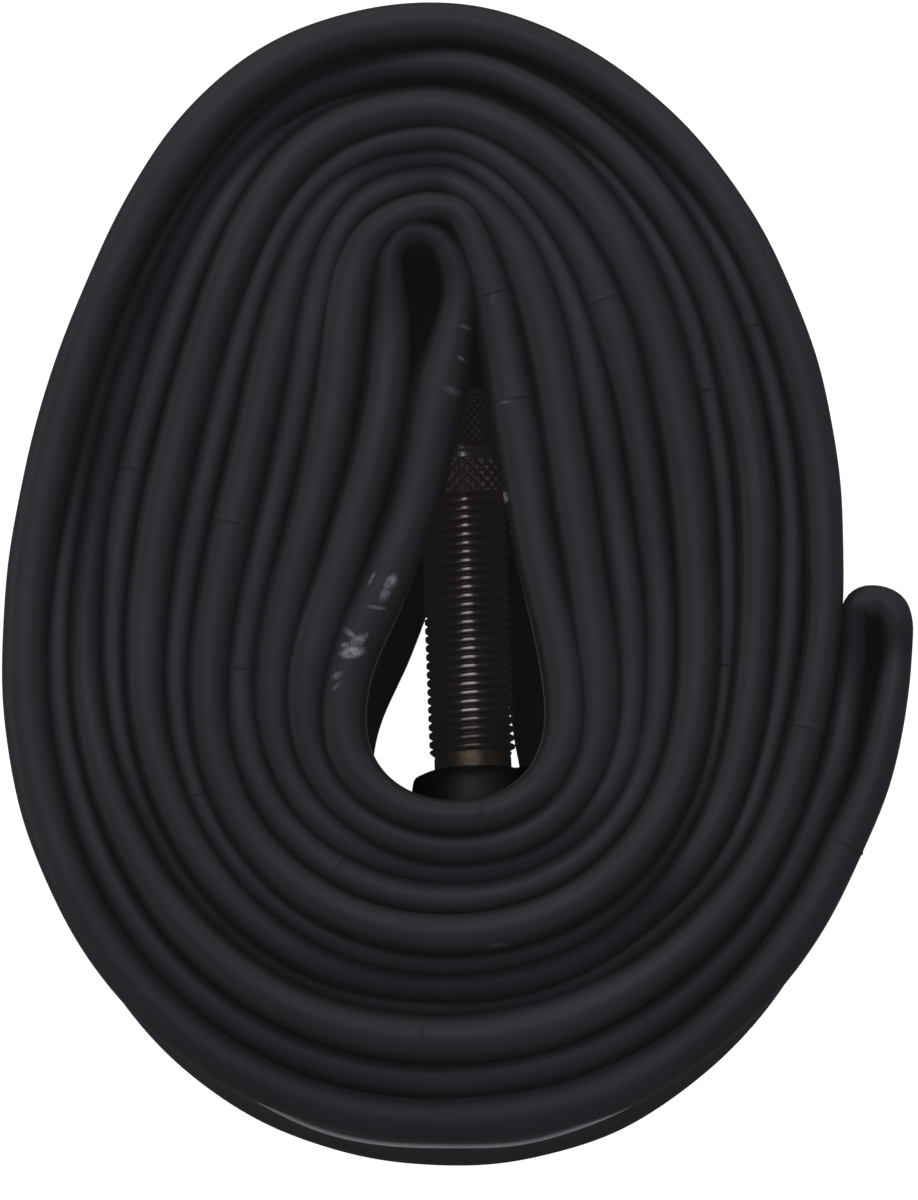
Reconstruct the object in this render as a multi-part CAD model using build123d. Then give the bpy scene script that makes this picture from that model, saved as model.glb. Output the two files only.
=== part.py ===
from build123d import *
import math
import os

os.makedirs("parts", exist_ok=True)

# Bicycle inner tube, emptied, folded double at the valve and rolled up flat.
# The roll stands on its lower edge: +Z is the axis of the roll, +Y is the
# direction in which the valve stem points. All lengths are in millimetres.

# ---------------------------------------------------------------- dimensions
STRIP_WIDTH = 44.0        # flat width of the emptied tube = height of the roll
WALL = 0.70               # rubber wall
STRIP_T = 2 * WALL        # the tube is emptied: its two walls lie on each other
ROLL_SHIFT = (0.84, -9.705)   # from the valve's foot point to the roll's own middle

VALVE_HOLE_R = 2.0        # hole through the wall, bore of the stem
PATCH_T = 1.1             # bonded rubber patch round the valve
PATCH_REACH = 9.0         # half length of the patch along the strip
PATCH_R = 9.0             # radius of the patch across the strip
# moulded rubber boss: (radius, height) down its rounded shoulder
BOSS_SHOULDER = [(3.60, 5.55), (4.30, 5.36), (4.95, 5.06), (5.42, 4.55), (5.66, 3.80)]

FOOT_R = 4.0              # brass foot of the stem, inside the rubber
FOOT_V0, FOOT_V1 = 1.5, 2.3
STEM_NECK_R = 3.5
THREAD_V0 = 7.0           # stem thread: 7.7 mm across, 32 turns per inch
STEM_TOP = 32.0
THREAD_R = 3.85
THREAD_CORE_R = 3.42
THREAD_PITCH = 0.794
SEAT_R = 2.55             # conical seat at the mouth of the bore
SEAT_DEPTH = 1.6

FLANGE_R, FLANGE_T = 3.65, 0.5      # plug flange, trapped under the nut
PLUG_R = 1.93                       # plug shank in the stem's bore
SHANK_V = 28.5
SPIGOT_R = 1.05                     # perforated spigot that carries the sleeve
SPIGOT_V = 19.0
AIRWAY_R = 0.5
CROSS_HOLE_V = 23.0
NECK_R, NECK_TOP = 3.0, 34.4
NIPPLE_R, NIPPLE_TOP = 2.2, 38.8    # threaded nipple for pump and dust cap

SLEEVE_R = 1.6
SLEEVE_V0, SLEEVE_V1 = 19.4, 28.4

NUT_R = 4.9
NUT_V0, NUT_V1 = 30.1, 33.3
NUT_BORE_R = 3.93
NUT_WEB_V = 32.55
NUT_HOLE_R = 3.07

CAP_R = 3.2
CAP_V0, CAP_V1 = 34.7, 40.2
CAP_BORE_R = 2.27
CAP_ROOF_V = 39.6
SEAL_R = 2.2
SEAL_V0, SEAL_V1 = 38.85, 39.45

# Centreline of the flattened tube in plan: an endless line. Each row is a way
# point (x, y, heading in degrees); a pair of tangent arcs joins each point to
# the next, and the last joins the first. It starts at the valve, goes up the
# left of the stem, turns back on itself above the stem's tip and winds out;
# at the loose end it folds over and winds back in to the valve.
WAY_POINTS = [
    (0.142, -12.602, -173.351), (-11.551, -5.048, 98.445), (-10.411, 3.469, 72.495),
    (-7.763, 12.311, 80.438), (-6.234, 21.380, 84.440), (-5.384, 26.743, 76.701),
    (-4.070, 33.722, 83.113), (-5.299, 36.784, 167.940), (-7.911, 33.632, -99.556),
    (-8.197, 23.707, -93.075), (-10.043, 13.849, -110.731), (-13.009, 4.943, -108.072),
    (-14.349, -5.934, -77.512), (0.534, -15.287, 7.031), (9.768, -8.532, 67.493),
    (10.645, 2.534, 94.849), (8.790, 20.878, 95.596), (6.631, 33.525, 107.560),
    (1.342, 41.410, 144.622), (-6.444, 41.629, -157.236), (-11.634, 35.780, -110.460),
    (-13.647, 27.189, -101.194), (-18.310, 8.532, -104.127), (-18.961, -8.029, -71.743),
    (3.830, -19.067, 16.733), (14.272, -9.846, 66.230), (16.467, 3.497, 89.508),
    (15.765, 15.493, 95.474), (12.956, 31.272, 107.145), (1.627, 46.140, 155.194),
    (-6.998, 46.101, -162.201), (-14.353, 40.169, -122.928), (-19.467, 27.557, -106.712),
    (-24.282, 8.956, -101.163), (-24.126, -9.211, -72.430), (-9.625, -23.918, -17.504),
    (17.549, -14.323, 58.169), (22.351, 4.747, 86.634), (20.733, 27.641, 102.269),
    (7.632, 48.401, 146.225), (-2.650, 51.580, -177.786), (-14.291, 47.618, -140.562),
    (-23.137, 34.810, -113.590), (-28.880, 17.559, -104.133), (-30.899, 1.771, -89.891),
    (-27.639, -12.965, -64.275), (-12.340, -27.623, -19.918), (4.318, -28.681, 12.233),
    (20.287, -18.462, 51.190), (26.978, -1.389, 79.499), (23.231, 36.297, 114.456),
    (8.637, 52.843, 149.814), (-2.832, 55.885, -177.854), (-15.669, 51.939, -144.899),
    (-26.465, 38.251, -116.795), (-34.958, 9.992, -97.577), (-33.356, -12.167, -72.091),
    (-22.356, -28.498, -37.895), (9.477, -33.085, 20.824), (31.130, -7.973, 74.525),
    (32.857, -0.171, 72.608), (34.046, 2.771, 56.213), (35.775, 3.485, -30.424),
    (36.552, 1.506, -90.623), (35.599, -3.180, -103.590), (32.968, -12.400, -111.207),
    (20.355, -30.609, -140.065), (5.436, -37.907, -168.850), (-27.082, -28.683, 135.298),
    (-38.213, 2.079, 88.743), (-33.426, 27.274, 71.726), (-24.259, 46.218, 54.009),
    (-10.244, 56.911, 16.425), (5.024, 56.845, -18.602), (17.263, 48.929, -44.638),
    (29.030, 27.033, -75.532), (30.691, 5.497, -94.371), (27.026, -10.872, -110.391),
    (19.874, -22.309, -134.936), (-0.766, -31.654, -177.217), (-24.443, -22.164, 131.740),
    (-32.550, -5.019, 100.188), (-31.850, 14.857, 78.964), (-25.380, 35.430, 65.689),
    (-16.428, 48.602, 41.991), (-0.870, 53.725, -2.929), (8.132, 50.637, -31.965),
    (20.490, 36.234, -64.719), (24.886, 18.417, -84.522), (24.192, -0.742, -98.051),
    (17.317, -18.350, -130.519), (2.374, -26.852, -171.088), (-20.909, -19.240, 132.009),
    (-28.045, 1.377, 88.651), (-24.199, 22.541, 73.906), (-19.180, 36.836, 65.620),
    (-8.786, 48.319, 20.122), (-1.724, 49.444, -0.732), (6.375, 46.461, -35.085),
    (16.138, 32.248, -71.174), (19.385, 15.017, -85.266), (19.180, -2.544, -97.865),
    (13.340, -16.302, -132.766), (-7.995, -21.912, 164.451), (-21.955, -7.812, 104.994),
    (-20.932, 10.363, 76.508), (-16.050, 28.939, 75.368), (-12.626, 38.738, 60.240),
    (-6.730, 43.885, 20.023), (1.768, 43.656, -30.846), (9.554, 32.877, -71.620),
    (12.472, 17.168, -83.318), (13.653, -1.966, -93.234), (9.677, -13.004, -132.303),
    (-7.308, -16.546, 160.030), (-16.911, -5.617, 101.105), (-15.470, 7.889, 74.324),
    (-11.575, 22.883, 79.692), (-10.375, 31.965, 81.143), (-7.158, 38.536, 34.663),
    (-2.129, 39.976, 0.323), (1.164, 38.772, -43.994), (3.713, 35.114, -62.618),
    (5.551, 27.943, -81.712), (7.522, 5.514, -80.337), (8.294, -4.028, -96.282),
    (3.916, -11.379, -149.525),
]


# ------------------------------------------------------------ planar arc line
def arc_from(p0, h0, p1):
    """Arc that leaves p0 with unit heading h0 and ends at p1."""
    nx, ny = -h0[1], h0[0]
    vx, vy = p1[0] - p0[0], p1[1] - p0[1]
    den = 2 * (vx * nx + vy * ny)
    sq = vx * vx + vy * vy
    if abs(den) * 4000.0 < sq:
        return {"p0": p0, "p1": p1, "line": True, "len": math.sqrt(sq)}
    r = sq / den                      # > 0 turns left
    cx, cy = p0[0] + nx * r, p0[1] + ny * r
    a0 = math.atan2(p0[1] - cy, p0[0] - cx)
    a1 = math.atan2(p1[1] - cy, p1[0] - cx)
    if r > 0:
        while a1 < a0:
            a1 += 2 * math.pi
    else:
        while a1 > a0:
            a1 -= 2 * math.pi
    return {"p0": p0, "p1": p1, "line": False, "c": (cx, cy), "r": r,
            "a0": a0, "a1": a1, "len": abs(r * (a1 - a0))}


def arc_pair(a, b):
    """Two tangent arcs from way point a to way point b."""
    ha = (math.cos(math.radians(a[2])), math.sin(math.radians(a[2])))
    hb = (math.cos(math.radians(b[2])), math.sin(math.radians(b[2])))
    v = (b[0] - a[0], b[1] - a[1])
    t = (ha[0] + hb[0], ha[1] + hb[1])
    k = 2 * (1 - ha[0] * hb[0] - ha[1] * hb[1])
    vt = v[0] * t[0] + v[1] * t[1]
    vv = v[0] * v[0] + v[1] * v[1]
    d = vv / (2 * vt) if k < 1e-9 else (-vt + math.sqrt(vt * vt + k * vv)) / k
    m = (0.5 * (a[0] + b[0] + d * (ha[0] - hb[0])),
         0.5 * (a[1] + b[1] + d * (ha[1] - hb[1])))
    first = arc_from((a[0], a[1]), ha, m)
    back = arc_from((b[0], b[1]), (-hb[0], -hb[1]), m)
    if back["line"]:
        second = {"p0": m, "p1": (b[0], b[1]), "line": True, "len": back["len"]}
    else:
        second = {"p0": m, "p1": (b[0], b[1]), "line": False, "c": back["c"],
                  "r": -back["r"], "a0": back["a1"], "a1": back["a0"],
                  "len": back["len"]}
    return [first, second]


def offset_edge(s, off):
    """Edge of piece s moved off to the left of the direction of travel."""
    if s["line"]:
        dx, dy = s["p1"][0] - s["p0"][0], s["p1"][1] - s["p0"][1]
        n = math.hypot(dx, dy)
        ox, oy = -dy / n * off, dx / n * off
        return (s["p0"][0] + ox, s["p0"][1] + oy), None, (s["p1"][0] + ox, s["p1"][1] + oy)
    rad = abs(s["r"]) - (off if s["r"] > 0 else -off)
    pts = []
    for a in (s["a0"], 0.5 * (s["a0"] + s["a1"]), s["a1"]):
        pts.append((s["c"][0] + rad * math.cos(a), s["c"][1] + rad * math.sin(a)))
    return pts[0], pts[1], pts[2]


def offset_wire(segs, off):
    """Closed wire along all pieces; neighbours share their end points."""
    raw = [offset_edge(s, off) for s in segs]
    n = len(raw)
    edges = []
    for i in range(n):
        a = raw[i][0]
        b = raw[(i + 1) % n][0]
        if raw[i][1] is None:
            edges.append(Edge.make_line((a[0], a[1], 0), (b[0], b[1], 0)))
        else:
            m = raw[i][1]
            edges.append(Edge.make_three_point_arc((a[0], a[1], 0), (m[0], m[1], 0), (b[0], b[1], 0)))
    return Wire(edges)


def ring_face(segs, off_a, off_b):
    wa, wb = offset_wire(segs, off_a), offset_wire(segs, off_b)
    fa, fb = Face(wa), Face(wb)
    if fa.area > fb.area:
        return Face(wa, [wb])
    return Face(wb, [wa])


shifted = [(x + ROLL_SHIFT[0], y + ROLL_SHIFT[1], h) for x, y, h in WAY_POINTS]
pieces = []
for i in range(len(shifted)):
    pieces += arc_pair(shifted[i], shifted[(i + 1) % len(shifted)])
tube_length = sum(s["len"] for s in pieces)
tightest = min(abs(s["r"]) for s in pieces if not s["line"])
print("length of the tube along the roll: %.1f mm in %d pieces" % (tube_length, len(pieces)))
print("tightest fold radius: %.2f mm" % tightest)


# The wide sweeps of the roll are made of short flats, as flattened rubber takes
# them up; each flat stays within FLAT_SAG of its arc. Only the tight folds stay
# round, and so does the seat of the valve.
FLAT_SAG = 0.12
ROUND_BELOW = 5.5


def flats(s):
    if s["line"] or abs(s["r"]) < ROUND_BELOW:
        return [s]
    step = 2 * math.acos(1 - FLAT_SAG / abs(s["r"]))
    n = max(1, math.ceil(abs(s["a1"] - s["a0"]) / step))
    pts = [s["p0"]]
    for k in range(1, n):
        a = s["a0"] + (s["a1"] - s["a0"]) * k / n
        pts.append((s["c"][0] + abs(s["r"]) * math.cos(a), s["c"][1] + abs(s["r"]) * math.sin(a)))
    pts.append(s["p1"])
    return [{"p0": p, "p1": q, "line": True, "len": math.dist(p, q)} for p, q in zip(pts, pts[1:])]


# the pieces on both sides of the valve (first and last) carry its base
pieces = pieces[:2] + [q for s in pieces[2:-2] for q in flats(s)] + pieces[-2:]
print("%d pieces once the sweeps are flats" % len(pieces))

# ---------------------------------------------------------------- rubber tube
half = STRIP_T / 2
body = extrude(ring_face(pieces, half, -half), amount=STRIP_WIDTH, dir=(0, 0, 1))

# ----------------------------------------------------------- valve coordinates
# The stem's axis is the line x = AXIS_X, z = AXIS_Z, parallel to +Y. Heights
# "v" along it start at the rubber face that the valve is bonded to.
AXIS_X = ROLL_SHIFT[0]
AXIS_Z = STRIP_WIDTH / 2
CENTRE_Y = -12.603 + ROLL_SHIFT[1]
FACE_Y = CENTRE_Y + half


def at_valve(shape):
    return Pos(AXIS_X, FACE_Y, AXIS_Z) * shape


def turned(points):
    """Solid of revolution about the stem's axis from (radius, v) points."""
    face = Face(Wire.make_polygon([(r, v, 0) for r, v in points], close=True))
    return revolve(face, axis=Axis.Y)


def rod(radius, v0, v1):
    return turned([(0, v0), (radius, v0), (radius, v1), (0, v1)])


def only_solid(shape):
    sol = shape.solids()
    return max(sol, key=lambda q: q.volume)


body = body - at_valve(rod(VALVE_HOLE_R, -WALL, 1.0))   # one wall only
tube_body = only_solid(body)

# ------------------------------------------------------------------ valve stem
stem_core = turned([
    (VALVE_HOLE_R, FOOT_V0), (FOOT_R, FOOT_V0), (FOOT_R, FOOT_V1), (STEM_NECK_R, FOOT_V1),
    (STEM_NECK_R, THREAD_V0 - 0.1), (THREAD_CORE_R, THREAD_V0), (THREAD_CORE_R, STEM_TOP),
    (SEAT_R, STEM_TOP), (VALVE_HOLE_R, STEM_TOP - SEAT_DEPTH)])
stem_outer = turned([
    (0, FOOT_V0), (FOOT_R, FOOT_V0), (FOOT_R, FOOT_V1), (STEM_NECK_R, FOOT_V1),
    (STEM_NECK_R, THREAD_V0 - 0.1), (0, THREAD_V0 - 0.1)])
turns = THREAD_PITCH
helix = Helix(pitch=THREAD_PITCH, height=STEM_TOP - THREAD_V0 - 0.5, radius=THREAD_CORE_R)
a = THREAD_PITCH * 0.40
ridge_face = Face(Wire.make_polygon([
    (THREAD_CORE_R - 0.12, 0, -a), (THREAD_R, 0, -0.05), (THREAD_R, 0, 0.05),
    (THREAD_CORE_R - 0.12, 0, a)], close=True))
ridge = sweep(ridge_face, path=helix, is_frenet=True)
ridge = Pos(0, THREAD_V0 + 0.25, 0) * (Rot(-90, 0, 0) * ridge)
valve_stem = only_solid(stem_core + ridge)

# ------------------------------------------------------- rubber base of valve
def cut_piece(s, keep, from_start):
    """The first or last stretch of piece s, keep millimetres long."""
    s = dict(s)
    if keep >= s["len"]:
        return s
    f = keep / s["len"]
    if s["line"]:
        q = [s["p0"][i] + (s["p1"][i] - s["p0"][i]) * (f if from_start else 1 - f) for i in (0, 1)]
        s["p1" if from_start else "p0"] = tuple(q)
    elif from_start:
        s["a1"] = s["a0"] + (s["a1"] - s["a0"]) * f
    else:
        s["a0"] = s["a1"] - (s["a1"] - s["a0"]) * f
    s["len"] = keep
    return s


def band_sector(reach, off_a, off_b):
    """Face of a stretch of the strip, reach to each side of the valve."""
    ahead, left = [], reach
    for s in pieces:
        ahead.append(cut_piece(s, left, True))
        left -= ahead[-1]["len"]
        if left < 0.3:
            break
    behind, left = [], reach
    for s in reversed(pieces):
        behind.insert(0, cut_piece(s, left, False))
        left -= behind[0]["len"]
        if left < 0.3:
            break
    edges, ends = [], []
    for off in (off_a, off_b):
        pts = [offset_edge(s, off) for s in behind + ahead]
        for i, (p, m, q) in enumerate(pts):
            q = pts[i + 1][0] if i + 1 < len(pts) else q
            if m is None:
                edges.append(Edge.make_line((p[0], p[1], 0), (q[0], q[1], 0)))
            else:
                edges.append(Edge.make_three_point_arc((p[0], p[1], 0), (m[0], m[1], 0), (q[0], q[1], 0)))
        ends.append((pts[0][0], pts[-1][2]))
    for k in (0, 1):
        a, b = ends[0][k], ends[1][k]
        edges.append(Edge.make_line((a[0], a[1], 0), (b[0], b[1], 0)))
    return Face(Wire(edges))


INWARD = -1       # the side of the line that faces the stem
patch = extrude(band_sector(PATCH_REACH, INWARD * half, INWARD * (half + PATCH_T)), amount=STRIP_WIDTH, dir=(0, 0, 1))
patch = patch & at_valve(rod(PATCH_R, -2.0, 12.0))
boss = at_valve(turned(
    [(0, BOSS_SHOULDER[0][1])] + BOSS_SHOULDER + [(BOSS_SHOULDER[-1][0], 0.4), (0, 0.4)]))
base = patch + boss
strip_here = extrude(band_sector(16.0, -INWARD * half, INWARD * half), amount=STRIP_WIDTH, dir=(0, 0, 1))
base = base - strip_here - at_valve(stem_outer) - at_valve(rod(VALVE_HOLE_R, -3.0, 9.0))
valve_base = only_solid(base)

# ---------------------------------------------------------------- valve insert
plug = turned([
    (0, SPIGOT_V), (SPIGOT_R - 0.2, SPIGOT_V), (SPIGOT_R, SPIGOT_V + 0.2), (SPIGOT_R, SHANK_V),
    (PLUG_R, SHANK_V), (PLUG_R, STEM_TOP - SEAT_DEPTH), (SEAT_R - 0.07, STEM_TOP),
    (FLANGE_R, STEM_TOP), (FLANGE_R, STEM_TOP + FLANGE_T), (NECK_R, STEM_TOP + FLANGE_T),
    (NECK_R, NECK_TOP - 0.25), (NECK_R - 0.25, NECK_TOP), (NIPPLE_R, NECK_TOP),
    (NIPPLE_R, NIPPLE_TOP - 0.3), (NIPPLE_R - 0.3, NIPPLE_TOP), (0, NIPPLE_TOP)])
plug = plug - rod(AIRWAY_R, CROSS_HOLE_V - 0.6, NIPPLE_TOP + 1)
cross = Pos(0, CROSS_HOLE_V, 0) * Cylinder(AIRWAY_R * 0.8, 2 * SPIGOT_R + 1)
core_plug = only_solid(plug - cross)

core_sleeve = only_solid(turned([
    (SPIGOT_R, SLEEVE_V0), (SLEEVE_R - 0.2, SLEEVE_V0), (SLEEVE_R, SLEEVE_V0 + 0.2),
    (SLEEVE_R, SLEEVE_V1), (SPIGOT_R, SLEEVE_V1)]))

union_nut = only_solid(turned([
    (NUT_BORE_R, NUT_V0), (NUT_R - 0.3, NUT_V0), (NUT_R, NUT_V0 + 0.3), (NUT_R, NUT_V1 - 0.3),
    (NUT_R - 0.3, NUT_V1), (NUT_HOLE_R, NUT_V1), (NUT_HOLE_R, NUT_WEB_V), (NUT_BORE_R, NUT_WEB_V)]))

dust_cap = only_solid(turned([
    (CAP_BORE_R, CAP_V0), (CAP_R - 0.2, CAP_V0), (CAP_R, CAP_V0 + 0.2), (CAP_R, CAP_V1 - 0.5),
    (CAP_R - 0.5, CAP_V1), (0, CAP_V1), (0, CAP_ROOF_V), (CAP_BORE_R, CAP_ROOF_V)]))

cap_seal = only_solid(rod(SEAL_R, SEAL_V0, SEAL_V1))

# ---------------------------------------------------------------------- output
nodes = {
    "tube_body": tube_body,
    "valve_base": valve_base,
    "valve_stem": at_valve(valve_stem),
    "core_plug": at_valve(core_plug),
    "core_sleeve": at_valve(core_sleeve),
    "union_nut": at_valve(union_nut),
    "dust_cap": at_valve(dust_cap),
    "cap_seal": at_valve(cap_seal),
}
for name, shape in nodes.items():
    bb = shape.bounding_box()
    print("%-12s volume %.1f  x %.2f..%.2f  y %.2f..%.2f  z %.2f..%.2f" % (
        name, shape.volume, bb.min.X, bb.max.X, bb.min.Y, bb.max.Y, bb.min.Z, bb.max.Z))
    export_step(shape, "parts/%s.step" % name)
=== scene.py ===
import math

import bpy
import numpy as np
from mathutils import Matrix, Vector


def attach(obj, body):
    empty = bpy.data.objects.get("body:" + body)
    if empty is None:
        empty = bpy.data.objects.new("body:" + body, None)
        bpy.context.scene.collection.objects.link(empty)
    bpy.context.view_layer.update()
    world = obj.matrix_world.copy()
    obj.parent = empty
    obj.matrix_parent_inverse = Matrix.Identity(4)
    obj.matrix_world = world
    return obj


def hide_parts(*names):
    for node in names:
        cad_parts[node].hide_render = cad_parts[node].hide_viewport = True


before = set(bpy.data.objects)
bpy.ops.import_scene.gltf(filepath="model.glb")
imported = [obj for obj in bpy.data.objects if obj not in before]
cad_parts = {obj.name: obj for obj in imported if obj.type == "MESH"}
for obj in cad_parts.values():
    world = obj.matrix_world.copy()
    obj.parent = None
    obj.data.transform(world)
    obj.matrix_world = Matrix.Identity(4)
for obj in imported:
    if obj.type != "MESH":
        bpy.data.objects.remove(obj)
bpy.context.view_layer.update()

MM = 0.001
rng = np.random.default_rng(358)

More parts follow.
